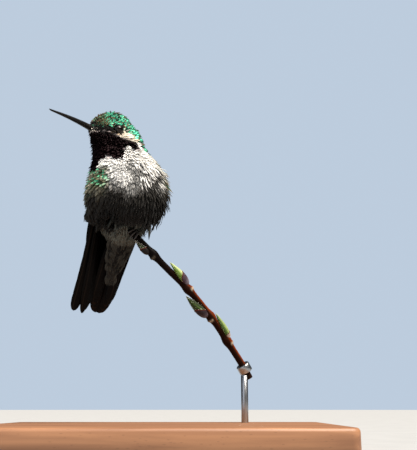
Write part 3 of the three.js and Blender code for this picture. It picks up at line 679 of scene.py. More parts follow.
def bakePatches(at, stations, section):
    patch, margin, (low, high) = bakeSheet["patch"], bakeSheet["margin"], bakeSheet["heights"]
    u = margin + (1 - 2 * margin) * (at["turn"] + 180) / 360
    v = margin + (1 - 2 * margin) * (at["z"] - low) / (high - low)
    across = section[:, 0] * patch / 2
    along = (np.linspace(0, 1, stations)[:, None] - 0.5) * patch
    shape = (len(u), stations, len(section))
    places = (u[:, None, None] + across, v[:, None, None] - along)
    flat = np.stack([np.broadcast_to(place, shape) for place in places], -1)
    return np.clip(flat.reshape(-1, 2), bakeSheet["edge"], 1 - bakeSheet["edge"])


def featherPiece(name, at, strands, section, material, replaces=()):
    # strands: (rings, colour, along, across) of each strand over all feathers, along and across in mm
    rings, *layers = zip(*strands)
    shape = rings[0].shape[:3]
    points, faces = loft(np.concatenate(rings))
    plume, along, across = (
        np.concatenate([np.broadcast_to(part, shape + part.shape[3:]) for part in layer])
        for layer in layers)
    values = {"plume": np.clip(plume, 0, 1).reshape(-1, 3), "along": along.ravel(), "across": across.ravel()}
    patches = np.tile(bakePatches(at, shape[1], section), (len(strands), 1))
    print(name, "-", shape[0], "feathers,", 2 * len(faces), "triangles")
    makePiece(name, points, faces, material, values, patches, replaces)


# how every feather of the coat is built; a spread is the least and the most of a random factor
coatBuild = {
    "lengthSpread": (0.85, 1.15), "strandSpread": (0.82, 1.1),
    "depthSpread": (0.8, 1.05), "standSpread": (0.75, 1.0),
    "strandTurn": 0.03,  # radians by which the strands of a feather differ
    "outerShort": 0.12,  # share by which the outer strands are shorter
    "overlap": 1.35,  # width of the strands against their share of the feather
    "sink": 0.25,  # mm, roots under the skin
    "rise": 0.9,  # how the feather leaves the skin: 1 is straight
    "thick": 0.1, "thinnest": 0.015,  # half thickness: share of the half width, and mm at least
    "tipEdge": (0.72, 0.95), "rootShadeEnds": 0.45, "glintFrom": (0.35, 0.6),  # shares of the length
}
# a coat's look where it doesn't say otherwise
usualLook = {
    "strands": 1, "stations": 6,
    "fan": 0, "gather": 0.0,  # degrees that the strands spread, or share by which their tips draw together
    # mm off the coat at the tip: for all feathers, and by luck
    "lift": 0, "stand": 0, "standWhere": lambda at: 1.0,
    "stray": 0.08, "roll": 0.15,  # radians
    "camber": 0.25, "sideEdge": 0.0, "rootShade": 0.5, "vary": 0.15,
    "glint": None, "glintWhere": lambda at: 1.0,
}
# mm, against the distance from the root of the bill
coatLengths = [(0, 0.55), (2.5, 0.75), (6, 1.1), (10, 1.5), (16, 2.3), (24, 3.3), (40, 4.0)]


def growCoat(name, roots, normals, look, seed):
    look = {**usualLook, **look}
    random = np.random.default_rng(seed)
    at = placeOf(roots)
    count, strands, stations = len(roots), look["strands"], look["stations"]
    luck = random.random(count)
    colour, edge = markings(at, luck)
    length = featherLength(at) * look["long"] * random.uniform(*coatBuild["lengthSpread"], count)
    depth = coatDepth(at)
    section = vaneSection if strands == 1 else strandSection
    shares = np.linspace(0, 1, stations)
    stand = look["stand"] * mm * random.random(count) ** 2 * look["standWhere"](at) + look["lift"] * mm
    strayed = random.normal(0, look["stray"], count)
    fan = np.radians(look["fan"]) * (-1 if look["gather"] else 1)
    across = np.cross(normals, lieOfBody(roots, normals))
    grown = []
    for strand in range(strands):
        place = 0 if strands == 1 else 2 * strand / (strands - 1) - 1
        turned = fan * place + strayed + random.normal(0, coatBuild["strandTurn"], count)
        each = length * (1 - coatBuild["outerShort"] * place ** 2)
        each = each * random.uniform(*coatBuild["strandSpread"], count)
        tip = depth * random.uniform(*coatBuild["depthSpread"], count)
        tip = tip + stand * random.uniform(*coatBuild["standSpread"], count)
        beside = roots - across * (look["gather"] * place * length / 2)[:, None]

        def height(share):
            return tip * share ** coatBuild["rise"] - coatBuild["sink"] * mm * (1 - share)

        path, ups = layOver(beside, normals, turned, each, height, stations)
        wide = each * look["wide"]
        if strands > 1:
            wide = wide / strands * coatBuild["overlap"]
        half = wide[:, None] / 2 * through(shares, look["outline"])
        thick = np.maximum(half * coatBuild["thick"], coatBuild["thinnest"] * mm)
        roll = random.normal(0, look["roll"], count)
        rings = vaneRings(path, ups, half, thick, section, look["camber"], roll)
        onSide = look["sideEdge"] * (np.abs(section[:, 0]) > 0.9)
        edged = np.clip(smooth(shares, *coatBuild["tipEdge"])[None, :, None] + onSide, 0, 1)
        # darker towards the root: the feathers' own dark bases, and painted shade under the overlapping
        # feathers
        shade = 1 - look["rootShade"] * (1 - smooth(shares, 0.0, coatBuild["rootShadeEnds"]))
        varied = random.uniform(1 - look["vary"], 1 + look["vary"], count)
        body = colour[:, None, None] + np.zeros(rings.shape)
        # glint: some feathers painted brighter towards the tip, a painted highlight of their structural
        # colour
        glint = look["glint"]
        if glint:
            lit = (random.random(count) < glint["share"]) * glint["gain"] * look["glintWhere"](at)
            lit = (lit[:, None, None] * smooth(shares, *coatBuild["glintFrom"])[None, :, None])[..., None]
            body = blend(body, rgb(glint["colour"]), np.clip(lit, 0, 1))
        mixed = blend(body, edge[:, None, None], edged[..., None])
        mixed = mixed * (shade[:, None] * varied[:, None, None])[..., None]
        along = (shares * each[:, None] / mm)[..., None]
        grown.append((rings, mixed, along, half[..., None] / mm * section[:, 0]))
    featherPiece(name, at, grown, section, look["material"])


def featherLength(at):
    # small on the face, long on the flanks
    return through(at["far"], coatLengths) * mm


# Feather: barbs that part a little, drawn from the vane's own length and width.
# Hummingbird barbs stand about 0.04 mm apart, too fine to show, so their lines are drawn 0.3 mm apart,
# and 0.45 mm apart on the flight feathers.

vaneLook = {
    "slant": 1.4,  # mm along the vane for each mm across
    "cloud": 0.9, "shade": (0.72, 1.18),  # mm, and the darkest and lightest share of the colour
    "relief": 0.3, "reliefDepth": 0.03,
}


def featherMaterial(name, sockets, barb=0.3, barbDepth=0.25, flash=None):
    material, tree, shader = startMaterial(name, sockets)
    plume, along, across = (
        addNode(tree, "Attribute", {"attribute_name": layer}) for layer in ("plume", "along", "across"))
    slant = addNode(tree, "Math", {"operation": "ABSOLUTE"}, links={0: across.outputs["Fac"]})
    onBarb = addNode(tree, "Math", {"operation": "MULTIPLY_ADD"}, {1: -vaneLook["slant"]},
                     {0: slant.outputs[0], 2: along.outputs["Fac"]})
    phase = addNode(tree, "Math", {"operation": "MULTIPLY"}, {1: 2 * math.pi / barb}, {0: onBarb.outputs[0]})
    wave = addNode(tree, "Math", {"operation": "SINE"}, links={0: phase.outputs[0]})
    place = addNode(tree, "TexCoord")
    cloud = addNode(tree, "TexNoise", inputs={"Scale": 1 / (vaneLook["cloud"] * mm), "Detail": 3.0},
                    links={"Vector": place.outputs["Object"]})
    both = addNode(tree, "Math", {"operation": "MULTIPLY_ADD"}, {1: barbDepth},
                   {0: wave.outputs[0], 2: cloud.outputs["Fac"]})
    colour = tonedBy(tree, plume, both.outputs[0], *vaneLook["shade"], (0.2, 0.8))
    if flash:
        # structural colour turns towards the second hue where the vane is seen aslant
        facingRatio = addNode(tree, "LayerWeight", inputs={"Blend": flash["blend"]})
        strength = addNode(tree, "Math", {"operation": "MULTIPLY"}, {1: flash["strength"]},
                           {0: facingRatio.outputs["Facing"]})
        tinted = addNode(tree, "Mix", {"data_type": "RGBA", "blend_type": "MULTIPLY"},
                         {7: linear(flash["hue"])}, {0: strength.outputs[0], 6: colour})
        colour = tinted.outputs[2]
    finishMaterial(tree, shader, colour, wave.outputs[0], vaneLook["relief"], vaneLook["reliefDepth"])
    return material


# soft contour feathers: keratin barbs, matt, with a faint silky sheen
softFeather = featherMaterial("softContourFeather",
                              {"Roughness": 0.85, "IOR": 1.54, "Specular IOR Level": 0.12,
                               "Sheen Weight": 0.03, "Sheen Roughness": 0.5})
# crown and back: structural green over melanin, glossy scale-like tips that flash blue-green
greenFeather = featherMaterial("structuralGreenFeather",
                               {"Roughness": 0.4, "IOR": 1.54, "Metallic": 0.3, "Specular IOR Level": 0.25},
                               flash={"hue": "#7fe8ff", "strength": 0.5, "blend": 0.4})
# throat: structural rose-red that reads black unless it faces the light
gorgetFeather = featherMaterial("structuralRoseFeather",
                                {"Roughness": 0.42, "IOR": 1.54, "Specular IOR Level": 0.07,
                                 "Specular Tint": linear("#b87584")},
                                flash={"hue": "#ff9cc0", "strength": 0.4, "blend": 0.4})
# flight feathers: stiff dark vanes, smooth and slightly glossy
flightFeather = featherMaterial("flightFeatherVane",
                                {"Roughness": 0.5, "IOR": 1.54, "Specular IOR Level": 0.05},
                                barb=0.45, barbDepth=0.35)


def paintedMaterial(name, sockets, scale, low, high, bump=0.3, depth=0.03, detail=4.0, spread=(0.25, 0.75)):
    # the piece's own painted colours, clouded and roughened at one scale (mm)
    material, tree, shader = startMaterial(name, sockets)
    plume = addNode(tree, "Attribute", {"attribute_name": "plume"})
    place = addNode(tree, "TexCoord")
    cloud = addNode(tree, "TexNoise", inputs={"Scale": 1 / (scale * mm), "Detail": detail},
                    links={"Vector": place.outputs["Object"]})
    cloudy = cloud.outputs["Fac"]
    finishMaterial(tree, shader, tonedBy(tree, plume, cloudy, low, high, spread), cloudy, bump, depth)
    return material


# bird skin under down: the coat's own colours, darkened for the duller down and as painted shade in the gaps
# between the feathers, matt
downySkin = paintedMaterial("downySkin", {"Roughness": 0.9, "IOR": 1.4}, 0.5, 0.5, 0.85, bump=0.6, depth=0.1,
                            spread=(0, 1))
skinColour = markings(placeOf(skinPoints), np.full(len(skinPoints), 0.5))[0]
makePiece("skin", skinPoints, skinQuads, downySkin, {"plume": skinColour}, replaces=skinShape["covers"])

# where each coat lies, how its feathers are shaped, in the order they are chosen
scaleOutline = [(0, 0.35), (0.3, 0.85), (0.62, 1.0), (0.86, 0.82), (1, 0.2)]
pointedOutline = [(0, 0.4), (0.35, 1.0), (0.65, 0.9), (0.88, 0.5), (1, 0.06)]
strandOutline = [(0, 0.7), (0.4, 1.0), (0.75, 0.75), (1, 0.06)]

coats = {
    "crownFeathers": {
        "where": lambda at: (at["up"] > through(at["cheek"], greenLower)) & (at["z"] > 99.5),
        "material": greenFeather, "gap": 0.32, "long": 1.05, "wide": 0.72,
        "outline": scaleOutline, "sideEdge": 0.3, "rootShade": 0.75, "vary": 0.4, "lift": 0.3, "stand": 0.5,
        "glint": {"colour": "#4cc79d", "share": 0.42, "gain": 1.0},
        "glintWhere": lambda at: 1 - 0.6 * smooth(at["ahead"], -3.4, -1.6),
    },
    "gorgetFeathers": {
        "where": lambda at: (at["up"] > throatEdge(at)) & (at["cheek"] < 100)
        & (at["up"] < through(at["cheek"], gorgetUpper)),
        "material": gorgetFeather, "gap": 0.34, "long": 1.2, "wide": 0.6,
        "outline": pointedOutline, "rootShade": 0.3, "vary": 0.2, "stand": 0.9, "roll": 0.2, "lift": 0.15,
    },
    "faceFeathers": {
        "where": lambda at: (at["cheek"] < 125) & (at["up"] > through(at["cheek"], gorgetUpper)),
        "material": softFeather, "gap": 0.3, "long": 0.95, "wide": 0.5,
        "outline": pointedOutline, "rootShade": 0.4, "vary": 0.2, "lift": 0.1,
    },
    "ventFeathers": {
        "where": lambda at: (at["z"] < 77) & (at["front"] > 0) & (at["down"] > 0),
        "material": softFeather, "gap": 0.24, "long": 0.9, "wide": 0.8, "strands": 4, "fan": 12,
        "outline": strandOutline, "rootShade": 0.3, "stand": 0.3, "down": 5.0,
    },
    "rumpFeathers": {
        "where": lambda at: at["down"] > -1,
        "material": greenFeather, "gap": 0.28, "long": 0.85, "wide": 0.8, "strands": 3, "fan": 10,
        "outline": scaleOutline, "sideEdge": 0.25, "vary": 0.2, "camber": 0.12, "gather": 0.2,
        "glint": {"colour": "#3fa878", "share": 0.2, "gain": 0.5},
    },
    "backFeathers": {
        "where": lambda at: ((np.abs(at["turn"]) > 96) & (at["z"] < 101))
        | ((at["up"] > through(at["cheek"], greenLower)) & (at["z"] < 99.5) & (at["z"] > 93)),
        "material": greenFeather, "gap": 0.25, "long": 0.9, "wide": 0.8, "strands": 3, "fan": 10,
        "outline": scaleOutline, "sideEdge": 0.25, "vary": 0.2, "camber": 0.12, "gather": 0.2,
        "glint": {"colour": "#3fa878", "share": 0.25, "gain": 0.6},
        "glintWhere": lambda at: smooth(at["z"], 80, 86),
    },
    "flankFeathersRight": {
        "where": lambda at: (at["turn"] > 30) & (at["z"] < 93.5) & (at["z"] > 80),
        "material": softFeather, "gap": 0.23, "long": 0.85, "wide": 0.62,
        "outline": pointedOutline, "vary": 0.35, "stand": 0.9, "sideEdge": 0.35, "roll": 0.15,
        "glint": {"colour": "#52c393", "share": 0.32, "gain": 0.9},
        "glintWhere": lambda at: (smooth(at["turn"], 33, 43) * smooth(at["z"], 85.8, 88)
                                  * (1 - smooth(at["z"], 92, 94))),
    },
    "flankFeathersLeft": {
        "where": lambda at: (at["turn"] < -12) & (at["z"] < 94) & (at["z"] > 80),
        "material": softFeather, "gap": 0.23, "long": 1.25, "wide": 0.6, "strands": 4, "fan": 8,
        "outline": strandOutline, "stand": 1.2, "gather": 0.38, "stray": 0.1,
        "standWhere": lambda at: 1 + 0.9 * smooth(-at["turn"], 40, 60),
    },
    "breastFeathers": {
        "where": lambda at: at["z"] > 83.5,
        "material": softFeather, "gap": 0.23, "long": 0.95, "wide": 1.15, "strands": 5, "fan": 15,
        "outline": strandOutline, "stations": 5, "rootShade": 0.0, "vary": 0.05, "stand": 0.1, "roll": 0.05,
    },
    "rimFeathers": {
        "where": lambda at: (at["turn"] < -18) & (at["turn"] > -110) & (at["z"] < 80.5) & (at["z"] > 74.5),
        "material": softFeather, "gap": 0.36, "long": 1.5, "wide": 0.42, "strands": 3, "fan": 5,
        "outline": strandOutline, "rootShade": 0.3, "vary": 0.3, "stand": 3.2, "stray": 0.09, "gather": 0.45,
    },
    "bellyFeathers": {
        "where": lambda at: at["z"] > 0,
        "material": softFeather, "gap": 0.24, "long": 1.3, "wide": 0.62, "strands": 4, "fan": 9,
        "outline": strandOutline, "rootShade": 0.4, "vary": 0.35, "stand": 1.9, "stray": 0.16,
        "gather": 0.32,
        "standWhere": lambda at: 0.5 + 0.5 * smooth(-at["turn"], 0, 40),
    },
}


def rootGap(at):
    chosen, gap = np.zeros(len(at["z"]), bool), np.ones(len(at["z"]))
    for look in coats.values():
        here = look["where"](at) & ~chosen
        gap[here] = look["gap"]
        chosen |= here
    return gap * featherLength(at) / mm


# where no feather is rooted: mm from the bill's axis, wings, tail and legs, and radii of the eye
clear = {"bill": 0.85, "behindBill": -1.5, "eye": 1.18, "wing": 0.45, "tail": 0.5, "leg": 0.5}
roots, rootNormals = scatter(rootGap, seed=34, tries=70000)
print(len(roots), "roots on the skin")
rootPlace = placeOf(roots)
bare = np.hypot(rootPlace["left"], rootPlace["up"]) < clear["bill"]
bare &= rootPlace["ahead"] > clear["behindBill"]
for centre in eyeCentre.values():
    bare |= np.linalg.norm(roots - centre, axis=1) < eyeRadius * clear["eye"]
wingTree, tailTree = treeOf(["wing_right", "wing_left"]), treeOf(["tail"])
legTree = treeOf(["leg_right", "leg_left", "foot_right", "foot_left", "perch_twig"])
middle, level, slope = skinShape["armsAbove"]
belowArms = roots[:, 2] / mm < level + slope * (roots[:, 1] / mm - middle)
for i, spot in enumerate(roots.tolist()):
    for tree, room in ((wingTree, clear["wing"]), (tailTree, clear["tail"]), (legTree, clear["leg"])):
        if tree is not wingTree or belowArms[i]:
            bare[i] |= tree.find_nearest(spot, room * mm)[0] is not None
taken = bare
for order, (name, look) in enumerate(coats.items()):
    mine = look["where"](rootPlace) & ~taken
    taken |= mine
    if look.get("down"):
        mine &= rootPlace["down"] < look["down"]  # the long coverts have rows of their own
    growCoat(name, roots[mine], rootNormals[mine], look, seed=40 + order)


# Coverts under the tail: soft overlapping rows, dark in the middle and pale round the edge

covertShape = {
    "rows": 12, "first": -1.0, "last": 17.4,  # mm down the tail
    "long": (4.4, 5.6), "wide": 3.3, "step": 1.5, "strands": 7,
    "narrow": (1.6, 2.2),  # mm, how much the last row draws in on each side
    "rim": 0.7,  # mm, left free at each side
    "sunk": 1.0,  # mm, roots under the surface of the solid
    "thick": 0.035, "stations": 8,
    "felt": (0, 0.5, 0.95),  # shares of the length where the solid's height is taken
}


def makeCoverts():
    random = np.random.default_rng(17)
    solid = treeOf(["undertail_coverts", "rump", "belly"])

    def frontAt(down, side):
        # height of the solids' front face at a place on the tail, or None beside them
        start = tailRoot + (tailDown * down + tailSide * side + tailFront * 25) * mm
        hit = solid.ray_cast(Vector(start), Vector(-tailFront), 32 * mm)[0]
        return None if hit is None else float((np.array(hit) - tailRoot) @ tailFront) / mm

    places, found, rim = [], [], covertShape["rim"]
    for row in range(covertShape["rows"]):
        share = row / (covertShape["rows"] - 1)
        down = covertShape["first"] + (covertShape["last"] - covertShape["first"]) * share
        length = covertShape["long"][0] + (covertShape["long"][1] - covertShape["long"][0]) * (1 - share)
        here = [w for w in np.arange(-8, 8, 0.25) if frontAt(down + 0.8 * length, w) is not None]
        found = here or found
        low = found[0] + rim + covertShape["narrow"][0] * share
        high = found[-1] - rim - covertShape["narrow"][1] * share
        low, high = min(low, high), max(low, high)
        count = max(1, round((high - low) / covertShape["step"]) + row % 2)
        for w in (np.linspace(low, high, count) if count > 1 else [(low + high) / 2]):
            w = w + random.uniform(-0.3, 0.3)
            heights = [frontAt(down + length * s, w * (1 - 0.05 * s)) for s in covertShape["felt"]]
            known = [height for height in heights if height is not None] or known
            if known:
                heights = [known[-1] if height is None else height for height in heights]
                start = down + random.uniform(-0.5, 0.5)
                places.append((start, w, length * random.uniform(0.92, 1.06), heights))
    stations, strands = covertShape["stations"], covertShape["strands"]
    shares = np.linspace(0, 1, stations)
    count = len(places)
    down, side, length = (np.array([place[i] for place in places])[:, None] for i in range(3))
    heights = np.array([np.interp(shares, covertShape["felt"], place[3]) for place in places])
    heights = heights - covertShape["sunk"] * (1 - shares) ** 1.2
    width = covertShape["wide"] / 2 * through(shares, [(0, 0.35), (0.3, 0.85), (0.7, 1), (1, 0.8)])
    width = width * random.uniform(0.85, 1.1, (count, 1)) * (1 - 0.2 * smooth(down, 8, 14))
    darkness = smooth(down[:, 0], 0.5, 3.5) * (1 - 0.4 * smooth(down[:, 0], 12, 15))
    darkness = darkness * (random.random(count) > 0.2) * 0.9
    # the vent's and the coverts' tones, both greyed as painted shade of the underside
    base = blend(tone["vent"], tone["undertail"], smooth(down, -0.5, 2.5))
    at = placeOf(tailRoot + (down * tailDown + side * tailSide + heights[:, :1] * tailFront) * mm)
    grown = []
    for strand in range(strands):
        place = 2 * strand / (strands - 1) - 1
        each = length * (1 - 0.2 * place ** 2) * random.uniform(0.88, 1.06, (count, 1))
        aside = side * (1 - 0.05 * shares) + width * place * 0.85
        rise = heights - 0.14 * width * place ** 2 + random.uniform(0, 0.12, (count, 1)) * shares
        path = tailRoot + ((down + each * shares)[..., None] * tailDown + aside[..., None] * tailSide
                           + rise[..., None] * tailFront) * mm
        ups = np.broadcast_to(tailFront + tailSide * 0.3 * place, path.shape)
        half = width / strands * 1.5 * through(shares, [(0, 0.8), (0.5, 1), (0.8, 0.8), (1, 0.1)]) * mm
        thick = np.full_like(half, covertShape["thick"] * mm)
        rings = vaneRings(path, ups, half, thick, strandSection, 0.2, random.normal(0, 0.2, count))
        inMiddle = (1 - smooth(abs(place), 0.35, 0.8)) * (1 - smooth(shares, 0.86, 1.0))
        inMiddle = inMiddle * smooth(shares, 0.1, 0.4)
        colour = blend(base[:, None], tone["spot"], (inMiddle * darkness[:, None])[..., None])
        colour = colour * random.uniform(0.8, 1.12, (count, 1, 1))
        along, across = (shares * each)[..., None], half[..., None] / mm * strandSection[:, 0]
        grown.append((rings, colour[:, :, None], along, across))
    featherPiece("undertailCoverts", at, grown, strandSection, softFeather)


makeCoverts()


# Flight feathers: stiff vanes with a raised shaft, one solid each, joined by wing and by tail

flightShape = {
    "shaft": 0.17, "shaftTone": "#241c16",  # mm, radius of the shaft at its root
    "vane": 0.05,  # mm, half thickness of the vane
    "camber": 0.05,
    "ragged": 0.05,
    "stations": 30,
}
# (across, thickness, shaft): the shaft lies nearer to the leading edge
flightSection = np.array([
    (1, 0, 0), (0.5, 1, 0), (-0.22, 1, 0), (-0.3, 0.6, 1), (-0.4, 0.6, 1), (-0.48, 1, 0), (-0.8, 0.8, 0),
    (-1, 0, 0), (-0.8, -0.8, 0), (-0.48, -1, 0), (-0.4, -0.6, -0.8), (-0.3, -0.6, -0.8), (-0.22, -1, 0),
    (0.5, -1, 0)])


def flightVane(root, tip, sideRoot, sideTip, bow, width, point, taper, seed):
    # a long feather between two points, as in the solids, with its tip rounded over the last share of it
    random = np.random.default_rng(seed)
    stations = flightShape["stations"]
    shares = 1 - (1 - np.linspace(0, 1, stations)) ** 1.5
    root, tip = np.array(root, float) * mm, np.array(tip, float) * mm
    path = root + (tip - root) * shares[:, None] + np.array(bow) * mm * (4 * shares * (1 - shares))[:, None]
    tangent = unit(np.gradient(path, axis=0))
    side = between((sideRoot, sideTip), shares[:, None])
    side = unit(side - tangent * (side * tangent).sum(1)[:, None])
    up = np.cross(side, tangent)
    opening = taper + (1 - taper) * np.minimum(1, shares / 0.45)
    closing = np.sqrt(np.clip(1 - (np.maximum(0, shares - 1 + point) / point) ** 2, 0.0004, 1))
    half = width * mm / 2 * opening * closing
    nicks = 1 - flightShape["ragged"] * random.random((stations, 2)) ** 4 * (shares[:, None] > 0.3)
    onLeading = flightSection[:, 0] > 0
    across = half[:, None] * flightSection[:, 0] * np.where(onLeading, nicks[:, :1], nicks[:, 1:])
    thin = np.minimum(flightShape["vane"] * mm, half * 0.5)[:, None]
    shaft = flightShape["shaft"] * mm * (1 - 0.88 * shares) * closing
    rise = thin * flightSection[:, 1] + shaft[:, None] * flightSection[:, 2]
    rise = rise - flightShape["camber"] * half[:, None] * flightSection[:, 0] ** 2
    rings = path[:, None] + side[:, None] * across[..., None] + up[:, None] * rise[..., None]
    along = np.broadcast_to((shares * np.linalg.norm(tip - root) / mm)[:, None], across.shape)
    return rings, along, across / mm, np.broadcast_to(shares[:, None], across.shape)


def flightPiece(name, feathers, replaces, look):
    # feathers: one dictionary of flightVane's values each, and optionally its own fringe colour
    fringes = [rgb(each.pop("edge", look["fringe"])) for each in feathers]
    made = [flightVane(seed=i, **each) for i, each in enumerate(feathers)]
    rings, along, across, shares = (np.stack(part) for part in zip(*made))
    onSide, onShaft = np.abs(flightSection[:, 0]), (np.abs(flightSection[:, 2]) > 0)[:, None] * 0.5
    isEdge = smooth(onSide, 0.86, 1.0) * np.where(flightSection[:, 0] < 0, 1.0, 0.4)
    weight = np.maximum(isEdge * 0.8, smooth(shares, 0.965, 1.0) * 0.7)[..., None]
    edges = np.array(fringes)[:, None, None]
    body = between((rgb(look["dark"]), rgb(flightShape["shaftTone"])), onShaft)
    strands = [(rings, blend(body, edges, weight), along, across)]
    featherPiece(name, placeOf(rings[:, 0, 0]), strands, flightSection, flightFeather, replaces)


wingShape = {
    "right": {
        "roots": [(-22.88, -0.59, 91.0), (-21.85, 3.9, 88.5)],
        "tips": [(-33.3, 15.6, 46.7), (-30.5, 17.0, 45.9), (-24.6, 20.4, 58.0)],
        "sides": [(-0.1, 0.99, 0), (0.34, 0.94, 0)],
        "chordTip": (0.9, 0.42, 0),
        "bows": [(1.04, 0.11, 0), (0.99, -0.36, 0)],
        "arm": [(-24.3, 1.6, 87.0), (-20.4, 8.4, 80.0)],
        "outside": (-0.97, 0.25, -0.06),
    },
    "left": {
        "roots": [(-3.55, 6.23, 91.0), (-7.34, 10.01, 88.5)],
        "tips": [(-22.4, 24.4, 50.6), (-24.2, 25.0, 47.6), (-24.4, 24.0, 60.0)],
        "sides": [(-0.5, 0.87, 0), (-0.83, 0.56, 0)],
        "chordTip": (-0.95, 0.3, 0),
        "bows": [(-0.43, -0.25, 0), (-0.28, -0.41, 0)],
        "arm": [(-4.6, 7.4, 87.0), (-10.2, 11.6, 80.0)],
        "outside": (0.65, 0.76, -0.03),
    },
}
# places of the ten primaries between the outermost (0), the longest (1) and the innermost (4)
primaryPlaces = [0, 0.06, 1.0, 1.06, 1.5, 2.0, 2.5, 3.0, 3.5, 4.0]
primaryWidths = [4.0, 3.4, 3.4, 3.4, 4.6, 4.6, 4.6, 4.6, 4.6, 4.4]
# lengths in mm; a pair of numbers is the first feather's and how much each next one, or the last, differs
wingLook = {
    # dark: the vanes' own blackish brown, deepened to near black as painted shade
    "dark": "#050404", "fringe": "#100d0b",
    "stack": (-0.42, 0.075), "shorter": 1.6,
    "covertLength": (23.5, -1.2), "covertWidth": 3.0, "covertRise": 0.2,
    "secondaries": 6, "secondaryLength": (15.5, -2.5), "secondaryWidth": 4.2, "secondaryRise": (0.35, 0.07),
    "bodyMiddle": (-13.7, 2),
}


def wingFeathers(shape):
    feathers = []
    outer, longest, inner = (np.array(tip) for tip in shape["tips"])
    chordTip = np.array(shape["chordTip"])
    for i, (place, width) in enumerate(zip(primaryPlaces, primaryWidths)):
        isOuter = place < 1
        tip = blend(outer, longest, place) if isOuter else blend(longest, inner, ((place - 1) / 3) ** 1.5)
        root = between(shape["roots"], place / 4)
        along = unit(tip - root)
        # the inner feathers overlap the outer ones on the wing's upper side
        dorsal = unit(np.cross(along, chordTip))
        dorsal = dorsal * (1 if dorsal[1] > 0 else -1)
        shift = dorsal * (wingLook["stack"][1] * i + wingLook["stack"][0])
        short = along * (wingLook["shorter"] if i in (1, 3) else 0)
        feathers.append({
            "root": root + shift, "tip": tip + shift - short,
            "sideRoot": unit(between(shape["sides"], place / 4) + chordTip * (0.6 if isOuter else 0)),
            "sideTip": chordTip, "bow": between(shape["bows"], place / 4), "width": width,
            "point": 0.1 if isOuter else 0.17, "taper": 0.95 if isOuter else 0.5,
        })
        # and its covert, over the root on the outer side
        if i % 2 == 0:
            away = np.array(shape["outside"]) * wingLook["covertRise"]
            length = wingLook["covertLength"][0] + wingLook["covertLength"][1] * i
            across = unit(between(shape["sides"], place / 4) + chordTip)
            feathers.append({
                "root": root + away, "tip": root + along * length + away,
                "sideRoot": across, "sideTip": across, "bow": (0, 0, 0),
                "width": wingLook["covertWidth"], "point": 0.5, "taper": 0.6,
            })
    # the short secondaries, from the arm to just past its coverts
    for i in range(wingLook["secondaries"]):
        share = i / (wingLook["secondaries"] - 1)
        root = between(shape["arm"], share)
        ahead = unit(between([inner, np.array(shape["tips"][2]) + (0, 2, 0)], share) - root)
        outwards = unit(np.cross(ahead, between(shape["sides"], 1)))
        inside = np.array([*wingLook["bodyMiddle"], root[2]])
        outwards = outwards * (1 if outwards @ (root - inside) > 0 else -1)
        shift = outwards * (wingLook["secondaryRise"][0] + wingLook["secondaryRise"][1] * i)
        length = wingLook["secondaryLength"][0] + wingLook["secondaryLength"][1] * share
        feathers.append({
            "root": root + shift, "tip": root + ahead * length + shift,
            "sideRoot": between(shape["sides"], 1), "sideTip": between(shape["sides"], 1), "bow": (0, 0, 0),
            "width": wingLook["secondaryWidth"], "point": 0.3, "taper": 0.5,
        })
    return feathers


for hand, shape in wingShape.items():
    flightPiece("flightFeathers" + hand.capitalize(), wingFeathers(shape), ["wing_" + hand], wingLook)

tailShape = {
    # mm, as in the solids
    "length": 33.6, "pairs": 5, "width": 4.8, "face": 0.9, "blade": 0.56, "step": 0.16,
    # dark: the vanes' own blackish brown, deepened to near black as painted shade
    "dark": "#050404", "fringe": "#110e0c", "rufous": "#22140d",
}


def tailFeathers():
    feathers = []
    for pair in range(tailShape["pairs"]):
        for hand in (1, -1):
            angle = math.radians(0.7 + 0.95 * pair) * hand
            length = tailShape["length"] - 0.34 * pair ** 2
            layer = tailShape["face"] - tailShape["blade"] / 2
            layer -= tailShape["step"] * (2 * (tailShape["pairs"] - 1 - pair) + (hand > 0))
            place = tailRoot / mm + tailFront * layer
            root = place + tailSide * hand * (0.3 + 0.42 * pair)
            aside = hand * 0.3 + math.sin(angle) * length
            tip = place + tailSide * aside + tailDown * math.cos(angle) * length
            feathers.append({
                "root": root, "tip": tip, "sideRoot": tailSide * -hand, "sideTip": tailSide * -hand,
                "bow": (0, 0, 0), "width": tailShape["width"] - 0.25 * pair, "point": 0.13, "taper": 0.35,
                "edge": tailShape["rufous"] if pair in (1, 2, 3) else tailShape["fringe"],
            })
    return feathers


flightPiece("tailFeathers", tailFeathers(), ["tail"], tailShape)


# Eyes: a dark globe with a clear bulging cornea, in beaded lids

eyeShape = {
    "pupil": "#030202", "iris": "#150c07", "rim": "#080605", "lid": "#0d0b0a",
    "pupilEdge": 17, "irisEdge": 38,  # degrees from the eye's axis
    "opening": 44, "lidBand": 13,
    "cornea": 0.035, "corneaEdge": 0.55,  # its bulge as a share of the radius, and radians out to its edge
    "beads": 22,
    # the lid across its band, in shares of it, and mm off the globe
    "lidProfile": [(0, 0.03), (0.06, 0.1), (0.25, 0.14), (0.6, 0.12), (0.9, 0.06), (1, -0.05), (0.5, -0.08),
                   (0.1, -0.03)],
}


